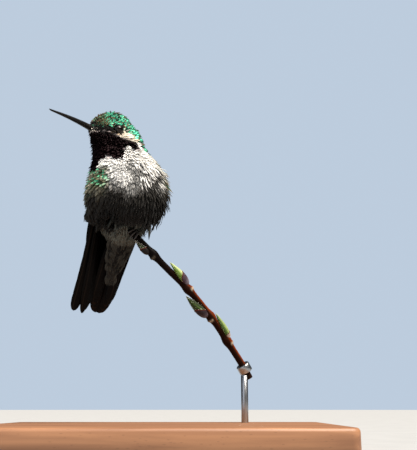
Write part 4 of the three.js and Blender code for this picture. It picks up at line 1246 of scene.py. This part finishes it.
def makeEyes():
    # cornea and tear film: a clear wet coat over a nearly black iris
    globe = paintedMaterial("corneaOverIris",
                            {"Roughness": 0.5, "IOR": 1.376, "Specular IOR Level": 0.0, "Coat Weight": 0.8,
                             "Coat Roughness": 0.03, "Coat IOR": 1.376},
                            0.2, 0.6, 1.5, bump=0, detail=3.0, spread=(0, 1))
    # lid skin: soft, dark, with a dry pebbled surface
    lidSkin = paintedMaterial("eyelidSkin", {"Roughness": 0.55, "IOR": 1.4}, 0.12, 0.7, 1.2)
    shades = {key: rgb(eyeShape[key]) for key in ("pupil", "iris", "rim", "lid")}
    turn, around = anglesRound(48), anglesRound(96)

    def bulge(angle):
        return eyeRadius * (1 + eyeShape["cornea"] * np.exp(-(angle / eyeShape["corneaEdge"]) ** 2))

    for side, axis in outward.items():
        up = np.cross(headAlong, axis)
        polar = np.linspace(0.02, np.pi - 0.02, 44)
        rings = ringOf(polar[:, None], axis, ringOf(turn, headAlong, up))
        rings = eyeCentre[side] + rings * bulge(polar)[:, None, None]
        degrees = np.degrees(polar)
        iris = smooth(degrees, eyeShape["pupilEdge"] - 1, eyeShape["pupilEdge"] + 1)[:, None]
        rim = smooth(degrees, eyeShape["irisEdge"] - 3, eyeShape["irisEdge"])[:, None]
        colour = blend(blend(shades["pupil"], shades["iris"], iris), shades["rim"], rim)
        points, faces = loft(rings[None])
        makePiece("eye" + side.capitalize(), points, faces, globe,
                  {"plume": np.repeat(colour, len(turn), 0)}, replaces=["eye_" + side])
        # lids: a band round the almond opening, on the globe
        across, raised = np.array(eyeShape["lidProfile"]).T
        opening = eyeShape["opening"] - 7 * np.abs(np.sin(around)) ** 1.5 + 2 * np.abs(np.cos(around)) ** 6
        angle = np.radians(opening[:, None] + eyeShape["lidBand"] * across)
        beads = 1 + 0.25 * np.sin(eyeShape["beads"] * around)[:, None] * (across < 0.3)
        reach = bulge(angle) + raised * mm * beads
        band = ringOf(angle, axis, ringOf(around, headAlong, up)[:, None])
        points = (eyeCentre[side] + band * reach[..., None]).reshape(-1, 3)
        makePiece("eyelids" + side.capitalize(), points, ringFaces(len(around), len(across)), lidSkin,
                  {"plume": np.tile(shades["lid"], (len(points), 1))})


makeEyes()
print("eyes ready")


# Bill: two slim mandibles with their edges shut, the nostril a slit near the root

billShape = {
    "length": 17.2, "inside": 2.6, "width": 2.45, "height": 2.35, "taper": 0.78, "bend": 1.1, "arch": 0.35,
    "lift": 0.4, "ridge": 0.05, "nostril": 1.5, "nostrilLength": 0.9, "nostrilDepth": 0.16,
    "split": 0.03, "upper": {"reach": 1, "tall": 1.04}, "lower": {"reach": 0.985, "tall": 0.86},
    "dark": "#060505", "root": "#0f0c0a",
}


def makeBill():
    # horn: a thin keratin sheath, smooth and softly glossy
    horn = paintedMaterial("billHornSheath", {"Roughness": 0.38, "IOR": 1.54, "Specular IOR Level": 0.14},
                           0.5, 0.75, 1.3, bump=0.12, detail=3.0)
    share, turn = np.linspace(0, 1, 60)[:, None], anglesRound(24)
    dark, root = rgb(billShape["dark"]), rgb(billShape["root"])
    for name, upper in (("billUpper", True), ("billLower", False)):
        half = billShape["upper" if upper else "lower"]
        along = -billShape["inside"] + share * (billShape["length"] + billShape["inside"]) * half["reach"]
        slim = 1 - billShape["taper"] * share ** billShape["bend"]
        # rounded off over the last 3 percent
        slim = slim * np.sqrt(np.clip(1 - (np.maximum(0, share - 0.97) / 0.031) ** 2, 0.02, 1))
        x = np.cos(turn) * (billShape["width"] / 2 * slim)
        z = np.sin(turn) * (billShape["height"] / 2 * slim * half["tall"])
        parting = billShape["split"] * slim
        z = np.maximum(z, parting) if upper else np.minimum(z, -parting)
        # the nostril, under its flap
        slit = np.exp(-((along - billShape["nostril"]) / billShape["nostrilLength"]) ** 2)
        slit = slit * np.exp(-((np.abs(np.sin(turn)) - 0.42) / 0.16) ** 2) * upper
        x = x * (1 - billShape["nostrilDepth"] * slit)
        # a ridge along the top
        z = z + billShape["ridge"] * slim * np.exp(-((turn - np.pi / 2) / 0.3) ** 2) * upper
        rise = billShape["arch"] * np.sin(np.pi * np.minimum(1, 1.05 * share))
        rise = rise + billShape["lift"] * (1 - share)
        rings = billPoint + (x[..., None] * headLeft + (along + 0 * x)[..., None] * headAlong
                             + (z + rise)[..., None] * headUp) * mm
        points, faces = loft(rings[None])
        weight = (1 - smooth(along, 0.5, 4)) + 0 * x
        colour = dark + (root - dark) * weight[..., None] * (1 - slit[..., None])
        makePiece(name, points, faces, horn, {"plume": colour.reshape(-1, 3)},
                  replaces=["bill_upper" if upper else "bill_lower"])


makeBill()
print("bill ready")


# Twig: bark with leaf scars and pale pores, and its four buds

twigShape = {
    "path": [(-21.4, -1.5, 79.0), (-16.4, -0.6, 75.5), (-9.3, 1.0, 69.4), (-3.7, 3.2, 63.9),
             (0.6, 5.4, 59.8), (8.7, 9.6, 52.3), (16.9, 14.8, 42.8), (22.3, 18.8, 35.1),
             (27.8, 22.6, 26.9), (29.7, 23.6, 23.4)],
    "length": 80.5, "radius": 1.12,
    "swell": 0.5, "reach": 1.9,  # the swelling at a node, and how far it reaches
    "oval": 0.02, "rough": 0.012,  # shares of the radius
    "ledge": 0.3, "wrinkle": 0.04,  # mm, under each bud
    "nodes": [0.29, 0.505, 0.665, 0.8],
    "bark": "#1c0a04", "barkLit": "#64290c", "barkOld": "#1a0e09", "barkShade": "#080403", "scar": "#c4b59c",
    "pore": "#5c4433", "cut": "#cbb187", "litSide": (0.65, -0.1, 0.75),
}
# bud 1 and bud 3 are darkened as painted shade, bud 1 with a fainter scar; the tip tone, laid on each bud's
# outer side, is painted light on buds 2 and 4
buds = [
    {"at": 0.285, "turn": (-0.7, -0.4, -0.5), "length": 6.6, "radius": 1.2, "lean": 0.04,
     "cup": (0.42, 0.08), "green": "#12140a", "tip": "#181a0f", "scale": "#0f0a08", "scaleRoot": "#130d0a",
     "scar": 0.12},
    {"at": 0.5, "turn": (0.7, -0.3, 0.7), "length": 10.4, "radius": 1.5, "lean": 0.08, "cup": (0.33, 0.17),
     "green": "#56702a", "tip": "#b3bd84", "scale": "#3a2c35", "scaleRoot": "#6d6670"},
    {"at": 0.665, "turn": (-0.7, -0.5, -0.5), "length": 11.2, "radius": 1.75, "lean": 0.17,
     "cup": (0.33, 0.15), "green": "#1b2810", "tip": "#31401f", "scale": "#251b21", "scaleRoot": "#54484f"},
    {"at": 0.805, "turn": (0.7, -0.3, 0.7), "length": 10.6, "radius": 1.3, "lean": 0.06, "cup": (0.17, 0.05),
     "green": "#3f5725", "tip": "#8f9d62", "scale": "#97897f", "scaleRoot": "#b9ada2"},
]
budLook = {"sink": 0.5, "back": 0.8, "flat": 0.72, "rib": "#48602a", "rim": "#4a160b", "fuzz": "#e6e3d6",
           "hairs": 170, "hairLength": (0.25, 0.55), "hairRadius": 0.016}
twigLine = curveThrough(twigShape["path"], 260)
twigTangents = unit(np.gradient(twigLine, axis=0))


def twigRadius(share):
    share = np.asarray(share)
    away = (share[..., None] - np.array(twigShape["nodes"])) * twigShape["length"] / twigShape["reach"]
    return twigShape["radius"] * (0.92 + 0.2 * share) + twigShape["swell"] * np.exp(-away ** 2).sum(-1)


def onTwig(share):
    at = share * (len(twigLine) - 1)
    i = min(int(at), len(twigLine) - 2)
    spot = twigLine[i] + (twigLine[i + 1] - twigLine[i]) * (at - i)
    return spot, twigTangents[i]


def budFrame(bud):
    spot, tangent = onTwig(bud["at"])
    back = -tangent
    offTwig = squareTo(np.array(bud["turn"]), back)
    along = unit(back + offTwig * bud["lean"])
    out = squareTo(offTwig, along)
    root = spot + offTwig * (twigRadius(bud["at"]) - budLook["sink"])
    return root + back * budLook["back"], along, out, np.cross(along, out)


def barkMaterial():
    # young bark: thin, taut and waxy, streaked along the twig, with raised pale pores
    sockets = {"Roughness": 0.5, "IOR": 1.47, "Specular IOR Level": 0.04}
    material, tree, shader = startMaterial("waxyYoungBark", sockets)
    plume, along, across = (
        addNode(tree, "Attribute", {"attribute_name": layer}) for layer in ("plume", "along", "across"))
    place = addNode(tree, "CombineXYZ", links={"X": along.outputs["Fac"], "Y": across.outputs["Fac"]})
    drawn = addNode(tree, "Mapping", inputs={"Scale": (0.35, 3.0, 1)}, links={"Vector": place.outputs[0]})
    streaks = addNode(tree, "TexNoise", inputs={"Scale": 1.0, "Detail": 5.0},
                      links={"Vector": drawn.outputs[0]})
    toned = tonedBy(tree, plume, streaks.outputs["Fac"], 0.55, 1.35, (0.25, 0.75))
    cells = addNode(tree, "TexVoronoi", inputs={"Scale": 0.55}, links={"Vector": place.outputs[0]})
    pore = addNode(tree, "MapRange",
                   inputs={"From Min": 0.07, "From Max": 0.12, "To Min": 0.6, "To Max": 0.0},
                   links={"Value": cells.outputs["Distance"]})
    dotted = addNode(tree, "Mix", {"data_type": "RGBA"}, {7: linear(twigShape["pore"])},
                     {0: pore.outputs[0], 6: toned})
    height = addNode(tree, "Math", {"operation": "ADD"},
                     links={0: pore.outputs[0], 1: streaks.outputs["Fac"]})
    finishMaterial(tree, shader, dotted.outputs[2], height.outputs[0], 0.5, 0.08)
    return material


def makeTwig():
    share, turn = np.linspace(0, 1, len(twigLine)), anglesRound(32)
    random = np.random.default_rng(5)
    radius = twigRadius(share)[:, None] * (1 + twigShape["oval"] * np.cos(2 * turn + 5 * share[:, None]))
    shades = {key: rgb(value) for key, value in twigShape.items() if isinstance(value, str)}
    side, up = framesAlong(twigLine, (0, 0, 1))
    normals = ringOf(turn[:, None], side[:, None, None], up[:, None, None])[:, :, 0]
    colour = np.tile(shades["bark"], (len(share), len(turn), 1))
    colour = blend(colour, shades["barkOld"], smooth(share, 0.85, 1.0)[:, None, None] * 0.8)
    # darker at the end under the bird: painted shade
    colour = blend(colour, shades["barkShade"], (1 - smooth(share, 0.3, 0.55))[:, None, None])
    # lighter and redder on the side that faces the upper right: painted light
    paintedLight = smooth(normals @ unit(np.array(twigShape["litSide"])), 0.25, 0.9)
    paintedLight = paintedLight * smooth(share, 0.35, 0.6)[:, None] * (1 - smooth(share, 0.9, 1))[:, None]
    colour = blend(colour, shades["barkLit"], (0.95 * paintedLight)[..., None])
    # under each bud a small ledge with its pale leaf scar, then wrinkles
    for bud in buds:
        out = budFrame(bud)[2]
        behind = (share - bud["at"] - 0.012) * twigShape["length"]
        facingBud = (normals * out).sum(2)
        ledge = np.exp(-(behind / 0.5) ** 2)[:, None] * smooth(facingBud, 0.1, 0.7)
        wrinkles = np.sin(behind * 9) * np.exp(-((behind - 1.2) / 1.2) ** 2)
        radius = radius + twigShape["ledge"] * ledge + twigShape["wrinkle"] * wrinkles[:, None]
        pale = np.exp(-((behind - 0.15) / 0.42) ** 2)[:, None] * smooth(facingBud, 0.35, 0.65)
        colour = blend(colour, shades["scar"], (bud.get("scar", 0.6) * pale)[..., None])
    radius = radius * (1 + twigShape["rough"] * random.standard_normal(radius.shape))
    rings = tube(twigLine, radius, (0, 0, 1))
    # cut ends: a fine bevel, then pale wood
    ends = []
    for at, way in ((0, -1), (-1, 1)):
        for shrink, push in ((0.93, 0.08), (0.5, 0.1), (0.04, 0.07)):
            ends.append(blend(twigLine[at], rings[0, at], shrink) + twigTangents[at] * way * push)
    rings = np.concatenate([np.stack(ends[2::-1]), rings[0], np.stack(ends[3:])])[None]
    wood = np.tile(shades["cut"], (3, len(turn), 1))
    along = np.concatenate([np.zeros(3), share * twigShape["length"], np.full(3, twigShape["length"])])
    points, faces = loft(rings * mm)
    values = {
        "plume": np.concatenate([wood, colour, wood]).reshape(-1, 3),
        "along": np.repeat(along, len(turn)),
        "across": np.tile(np.abs(turn - np.pi) * 1.2, len(along)),
    }
    makePiece("twigBark", points, faces, barkMaterial(), values, replaces=["perch_twig"])


def makeBuds():
    # bud scales: tough and waxy, bloomed with grey
    scaleSkin = paintedMaterial("waxyBudScale", {"Roughness": 0.5, "IOR": 1.47, "Specular IOR Level": 0.2},
                                0.35, 0.6, 1.35, bump=0.4, depth=0.05)
    # young leaves in the bud: soft and finely downy
    leafSkin = paintedMaterial("downyBudLeaf", {"Roughness": 0.6, "IOR": 1.45, "Specular IOR Level": 0.2,
                                                "Sheen Weight": 0.1, "Sheen Roughness": 0.4},
                               0.5, 0.75, 1.2, bump=0.3, depth=0.04)
    random = np.random.default_rng(9)
    turn, flat = anglesRound(40), budLook["flat"]
    for number, bud in enumerate(buds, 1):
        root, along, out, side = budFrame(bud)
        shades = {key: rgb(value) for key, value in {**budLook, **bud}.items() if isinstance(value, str)}
        cup, slant = bud["cup"]

        def swelling(share):
            return bud["radius"] * np.maximum(np.sin(np.pi * share ** 0.62), 0) ** 0.8

        def shell(share, lift):
            # the bud's outline, flattened against the twig
            swell = swelling(share) + lift
            x, y = np.cos(turn), np.sin(turn)
            x = np.where(x < 0, x * flat, x)
            middle = root + along * (share * bud["length"])[..., None]
            return middle + (swell * x)[..., None] * out + (swell * y)[..., None] * side

        # the leaves: a ribbed tip in three overlapping folds
        share = (0.06 + 0.94 * np.linspace(0, 1, 40) ** 0.9)[:, None] + 0 * turn
        overlap = np.abs(np.sin(1.5 * turn + 0.6 + 1.4 * share))
        folds = 0.05 * bud["radius"] * overlap * (1 - share)
        ribs = 0.03 * np.sin(11 * turn) * smooth(share, 0.3, 0.5) * (1 - smooth(share, 0.85, 1))
        leaf = shell(np.minimum(share, 0.9985), folds + ribs - 0.05)
        colour = blend(shades["rib"], shades["green"], smooth(overlap, 0.0, 0.3)[..., None])
        # the outer side, away from the twig, takes the tip tone: painted light where it is paler
        colour = blend(colour, shades["tip"], (0.7 * smooth(np.cos(turn) + 0 * share, 0.3, 1))[..., None])
        points, faces = loft((leaf * mm)[None])
        makePiece(f"budLeaves{number}", points, faces, leafSkin, {"plume": colour.reshape(-1, 3)},
                  replaces=[f"bud_{number}"])
        # the scale round its foot, with a slanting reddish rim, highest on the outer side
        rows = np.linspace(0, 1, 26)[:, None]
        top = cup + slant * np.cos(turn) + 0.02 * np.sin(3 * turn)
        share = rows * top + 0.002
        lip = 0.1 * np.exp(-((rows - 0.97) / 0.04) ** 2)
        outside = shell(share, 0.09 + lip)
        inside = [shell(share[-1:] * 0.97, -0.08), shell(np.full_like(share[:1], 0.03), -0.12)]
        colour = blend(shades["scaleRoot"], shades["scale"], smooth(rows, 0.1, 0.6)[..., None]) + 0 * outside
        colour = blend(colour, shades["rim"], smooth(rows + 0 * turn, 0.86, 0.95)[..., None])
        colour = np.concatenate([colour, colour[-1:], colour[-1:] * 0.5])
        points, faces = loft((np.concatenate([outside] + inside) * mm)[None])
        makePiece(f"budScale{number}", points, faces, scaleSkin, {"plume": colour.reshape(-1, 3)},
                  replaces=[f"bud_scale_{number}"])
        # short white down along the edges and at the tip
        count = budLook["hairs"]
        at = random.random(count)
        onRim = cup + slant * np.cos(2 * np.pi * at)
        where = np.where(random.random(count) < 0.3, onRim, cup + (0.97 - cup) * random.random(count) ** 0.7)
        x, y = np.cos(2 * np.pi * at), np.sin(2 * np.pi * at)
        way = x[:, None] * out + y[:, None] * side
        x, swell = np.where(x < 0, x * flat, x), swelling(where)
        start = root + along * (where * bud["length"])[:, None] + (swell * x)[:, None] * out
        start = start + (swell * y)[:, None] * side
        length = random.uniform(*budLook["hairLength"], count)[:, None]
        lean = unit(along + 0.2 * way + 0.18 * random.standard_normal((count, 3)))
        steps = np.linspace(0, 1, 4)[None, :, None]
        path = start[:, None] + lean[:, None] * length[:, None] * steps + 0.04 * way[:, None] * steps ** 2
        half = budLook["hairRadius"] * np.array([1, 0.8, 0.5, 0.1]) * np.ones((count, 1))
        hairs = vaneRings(path, np.repeat(way[:, None], 4, 1), half, half, strandSection, 0, np.zeros(count))
        points, faces = loft(hairs * mm)
        makePiece(f"budDown{number}", points, faces, leafSkin,
                  {"plume": np.tile(shades["fuzz"], (len(points), 1))})


makeTwig()
makeBuds()
print("twig and buds ready")


# Feet: three toes in front of the twig and one behind, scaled, with curved claws

footShape = {
    "right": {"at": 0.061, "hip": (-19.0, 1.2, 84.0)},
    "left": {"at": 0.1675, "hip": (-12.2, 2.8, 80.0)},
    "toe": 0.36, "spread": 1.25, "claw": 1.9, "tarsus": 0.5, "around": 16,
    "joints": 3, "toePlates": 17, "shankPlates": 14, "plateRise": 0.07,
    # shift along the twig, then degrees round it from the top towards the front
    "spans": [(-1, 4, 118), (0, 4, 134), (1, 4, 118), (0.2, -4, -96)],
    "skin": "#1b1614", "skinLit": "#2c2420", "horn": "#0c0a09",
}


def makeFeet():
    # scaled foot skin: dry, horny plates with dark creases
    footSkin = paintedMaterial("scaledFootSkin", {"Roughness": 0.5, "IOR": 1.45}, 0.15, 0.65, 1.3, bump=0.4)
    clawHorn = paintedMaterial("clawHornSheath", {"Roughness": 0.28, "IOR": 1.54}, 0.3, 0.8, 1.2, bump=0.15)
    skinTone, lit, hornTone = (rgb(footShape[key]) for key in ("skin", "skinLit", "horn"))
    around, toeRadius = footShape["around"], footShape["toe"]
    share, bend = np.linspace(0, 1, 46), np.linspace(0, 1, 22)
    for hand in ("right", "left"):
        centre, along = onTwig(footShape[hand]["at"])
        top = squareTo(np.array([0, 0, 1]), along)
        front = squareTo(facing - along * (facing @ along), top)
        grip = twigRadius(footShape[hand]["at"]) + toeRadius * 0.95
        toes, claws, shades = [], [], []

        def arc(degrees, radius, slide):
            # a line round the twig
            ring = ringOf(np.radians(degrees), top, front)
            return centre + ring * radius[:, None] + along * slide[:, None]

        def addScaled(path, radius, plates, raised, paler):
            # a toe or shank: its plates raised, and paler in their middles
            toes.append(loft(tube(path, radius[:, None] * (1 + raised), along)))
            shades.append(np.repeat(blend(skinTone, lit, (plates * paler)[:, None]), around, 0))

        for shift, start, end in footShape["spans"]:
            drift, ahead = shift * footShape["spread"], np.sign(end)
            joints = 0.1 * np.cos(share * footShape["joints"] * 2 * np.pi)
            path = arc(start + (end - start) * share, grip + 0.12 * np.sin(3 * np.pi * share) ** 2,
                       drift * (0.45 + 0.7 * share))
            plates = np.abs(np.sin(share * footShape["toePlates"] * np.pi))
            raised = footShape["plateRise"] * plates[:, None] * (np.arange(around) < 9)
            addScaled(path, toeRadius * (1 - 0.2 * share) * (1 + joints * 0.8), plates, raised, 0.7)
            # the claw starts 4 degrees inside the toe
            start, length = end - 4 * ahead, (math.degrees(footShape["claw"] / grip) + 4) * ahead
            path = arc(start + length * bend, grip + 0.35 * np.sin(np.pi * bend) - 0.1 * bend,
                       drift * 1.15 + shift * 0.2 * bend)
            radius = toeRadius * (0.74 * (1 - bend) ** 0.7 + 0.05)
            claws.append(loft(tube(path, np.repeat(radius[:, None], 12, 1), along)))
        ankle = centre + top * (grip + 0.1)
        shank = np.linspace(0, 1, 50)
        path = ankle + (np.array(footShape[hand]["hip"]) - ankle) * shank[:, None]
        plates = np.abs(np.sin(shank * footShape["shankPlates"] * np.pi))
        radius = footShape["tarsus"] * (0.95 + 0.6 * shank ** 2) * (1 + 0.05 * plates)
        addScaled(path, radius, plates, np.zeros((1, around)), 0.5)
        polar = np.linspace(0.05, np.pi - 0.05, around)[:, None, None]
        oval = ringOf(anglesRound(around), front * 0.62, top * 0.5)
        pad = np.cos(polar) * along * 0.95 + np.sin(polar) * oval
        toes.append(loft((ankle + pad)[None]))
        shades.append(np.tile(skinTone, (around ** 2, 1)))
        points, faces = merged(toes)
        makePiece("foot" + hand.capitalize(), points * mm, faces, footSkin, {"plume": np.vstack(shades)},
                  replaces=["foot_" + hand, "leg_" + hand])
        points, faces = merged(claws)
        makePiece("claws" + hand.capitalize(), points * mm, faces, clawHorn,
                  {"plume": np.tile(hornTone, (len(points), 1))},
                  replaces=[f"claw_{hand}_{i}" for i in range(1, 5)])


makeFeet()
print("feet ready")


# Stand: an oiled beech board, and a brushed steel rod that ends in a collar round the twig

standShape = {
    "corner": 3.0, "edge": 1.2, "rod": 1.25,
    "clip": 0.95,  # where the collar holds the twig, as a share of its length
    "collarHalf": 1.5, "collarWall": 1.05, "room": 0.12, "bevel": 0.18,
    "wood": "#94694a", "grain": "#6f4a33", "fleck": "#4f3323", "steel": "#a9abae", "steelLine": "#8d8f92",
}


def woodMaterial():
    # steamed beech: planed and oiled, even and pinkish, with the short dark dashes of its rays
    material, tree, shader = startMaterial("oiledBeech", {"Roughness": 0.5, "IOR": 1.5})
    place = addNode(tree, "TexCoord")
    drawn = addNode(tree, "Mapping", inputs={"Scale": (0.06, 1, 1)},
                    links={"Vector": place.outputs["Object"]})
    rings = addNode(tree, "TexNoise",
                    inputs={"Scale": 1 / (3.2 * mm), "Detail": 6.0, "Distortion": 0.4},
                    links={"Vector": drawn.outputs[0]})
    tint = addNode(tree, "ValToRGB", links={"Fac": rings.outputs["Fac"]},
                   stops=[(0.3, standShape["grain"]), (0.62, standShape["wood"])])
    dashes = addNode(tree, "Mapping", inputs={"Scale": (0.25, 1, 1)},
                     links={"Vector": place.outputs["Object"]})
    cells = addNode(tree, "TexVoronoi", inputs={"Scale": 1 / (0.7 * mm)},
                    links={"Vector": dashes.outputs[0]})
    fleck = addNode(tree, "MapRange",
                    inputs={"From Min": 0.08, "From Max": 0.2, "To Min": 0.35, "To Max": 0.0},
                    links={"Value": cells.outputs["Distance"]})
    mixed = addNode(tree, "Mix", {"data_type": "RGBA"}, {7: linear(standShape["fleck"])},
                    {0: fleck.outputs[0], 6: tint.outputs[0]})
    finishMaterial(tree, shader, mixed.outputs[2], rings.outputs["Fac"], 0.15, 0.05)
    return material


def steelMaterial():
    # stainless steel: drawn rod, brushed, with a satin gloss
    material, tree, shader = startMaterial("brushedStainlessSteel", {"Metallic": 1.0, "Roughness": 0.3})
    place = addNode(tree, "TexCoord")
    drawn = addNode(tree, "Mapping", inputs={"Scale": (1, 1, 0.02)},
                    links={"Vector": place.outputs["Object"]})
    lines = addNode(tree, "TexNoise", inputs={"Scale": 1 / (0.12 * mm), "Detail": 2.0},
                    links={"Vector": drawn.outputs[0]})
    tint = addNode(tree, "ValToRGB", links={"Fac": lines.outputs["Fac"]},
                   stops=[(0.3, standShape["steelLine"]), (0.7, standShape["steel"])])
    gloss = addNode(tree, "MapRange", inputs={"To Min": 0.22, "To Max": 0.4},
                    links={"Value": lines.outputs["Fac"]})
    tree.links.new(tint.outputs[0], shader.inputs["Base Color"])
    tree.links.new(gloss.outputs[0], shader.inputs["Roughness"])
    return material


def turnedSolid(centre, axis, profile, around=64):
    # a solid turned about an axis: profile of (radius, along), closed back to its start
    axis = unit(np.array(axis, float))
    first = unit(np.cross(axis, [0.31, 0.95, 0.05]))
    profile = np.array(profile, float)
    ring = ringOf(anglesRound(around), first, np.cross(axis, first))
    points = centre + ring[:, None] * profile[:, :1] + axis * profile[:, 1:]
    return points.reshape(-1, 3) * mm, ringFaces(around, len(profile))


def makeStand():
    steel = steelMaterial()
    spot, along = onTwig(standShape["clip"])
    bore = twigRadius(standShape["clip"]) + standShape["room"]
    wall, half, bevel = bore + standShape["collarWall"], standShape["collarHalf"], standShape["bevel"]
    profile = [(bore, -half), (wall - bevel, -half), (wall, -half + bevel), (wall, half - bevel),
               (wall - bevel, half), (bore, half)]
    makePiece("standCollar", *turnedSolid(spot, along, profile), steel, replaces=["stand_collar"])
    low, high = (corner.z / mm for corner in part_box("stand_rod"))
    foot, rod = np.array([spot[0], spot[1], 0]), standShape["rod"]
    profile = [(0.01, low), (rod - 0.2, low), (rod, low + 0.2),
               (rod, high - 0.1), (rod - 0.1, high), (0.01, high)]
    makePiece("standRod", *turnedSolid(foot, (0, 0, 1), profile), steel, replaces=["stand_rod"])
    low, high = (np.array(corner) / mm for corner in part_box("stand_base"))
    # the board: rounded corners, eased edges, in rings from the underside to the top
    corner, edge = standShape["corner"], standShape["edge"]
    quarter = np.linspace(0, np.pi / 2, 9)
    outline = []
    for i, (sx, sy) in enumerate(((1, 1), (-1, 1), (-1, -1), (1, -1))):
        centre = np.array([sx * (high[0] - corner), sy * (high[1] - corner)])
        for angle in quarter + i * np.pi / 2:
            outline.append((centre, np.array([math.cos(angle), math.sin(angle)])))
    levels = [(corner - 0.4, low[2]), (corner, low[2] + 0.4)]
    for angle in np.linspace(0, np.pi / 2, 8):
        levels.append((corner - edge * (1 - math.cos(angle)), high[2] - edge * (1 - math.sin(angle))))
    rings = np.array([[[*(centre + way * reach), z] for centre, way in outline] for reach, z in levels])
    points, faces = loft(rings[None])
    makePiece("standBoard", points * mm, faces, woodMaterial(), replaces=["stand_base"])


makeStand()
print("stand ready")


# Stage: plain pale floor and air, one broad soft light from the upper right, weak fill

studio = {
    "floor": "#97999b", "floorGrain": "#9d9fa1",
    "air": "#c6d6e8",  # what is seen behind the bird
    "airStrength": 0.9,
    "ambient": 0.14,
    # the key's size is in radians
    "key": {"kind": "SUN", "at": (0.21, -0.23, 0.58), "size": 0.7, "power": 9.8, "colour": "#fff6ea"},
    "fill": {"kind": "AREA", "at": (-0.4, -0.5, 0.3), "size": 0.6, "power": 1.3, "colour": "#eef4ff"},
    "target": (-0.012, 0.003, 0.088),
}


def makeStage():
    material, tree, shader = startMaterial("paintedFloor", {"Roughness": 0.9})
    place = addNode(tree, "TexCoord")
    grain = addNode(tree, "TexNoise", inputs={"Scale": 60.0, "Detail": 3.0},
                    links={"Vector": place.outputs["Object"]})
    tint = addNode(tree, "ValToRGB", links={"Fac": grain.outputs["Fac"]},
                   stops=[(0.3, studio["floor"]), (0.7, studio["floorGrain"])])
    tree.links.new(tint.outputs[0], shader.inputs["Base Color"])
    bpy.ops.mesh.primitive_circle_add(vertices=96, radius=4.0, fill_type="NGON")
    floor = bpy.context.object
    floor.name = "floor"
    floor.data.materials.append(material)
    world = bpy.data.worlds.new("studioAir")
    world.use_nodes = True
    bpy.context.scene.world = world
    # the air looks pale, and lights the bird only weakly
    tree = world.node_tree
    seen = addNode(tree, "LightPath")
    strength = addNode(tree, "MapRange",
                       inputs={"To Min": studio["ambient"], "To Max": studio["airStrength"]},
                       links={"Value": seen.outputs["Is Camera Ray"]})
    tree.nodes["Background"].inputs["Color"].default_value = linear(studio["air"])
    tree.links.new(strength.outputs[0], tree.nodes["Background"].inputs["Strength"])
    for name in ("key", "fill"):
        light = bpy.data.lights.new(name, studio[name]["kind"])
        light.energy = studio[name]["power"]
        if light.type == "SUN":
            light.angle = studio[name]["size"]
        else:
            light.size = studio[name]["size"]
        light.color = linear(studio[name]["colour"])[:3]
        lamp = bpy.data.objects.new(name, light)
        lamp.location = studio[name]["at"]
        lamp.rotation_euler = (Vector(studio["target"]) - lamp.location).to_track_quat("-Z", "Y").to_euler()
        bpy.context.scene.collection.objects.link(lamp)


makeStage()

# Camera: low in front, looking up 15 degrees, 235 mm from the bird
view = {"at": (0.015, -0.22699, 0.01318), "rise": 15, "lens": 54.5, "sensor": 36}
camera = bpy.data.objects.new("camera", bpy.data.cameras.new("camera"))
camera.location = view["at"]
camera.rotation_euler = (math.radians(90 + view["rise"]), 0, 0)
camera.data.lens = view["lens"]
camera.data.sensor_width = view["sensor"]
camera.data.clip_start, camera.data.clip_end = 0.01, 20
bpy.context.scene.collection.objects.link(camera)
bpy.context.scene.camera = camera
bpy.context.scene.view_settings.view_transform = "Standard"
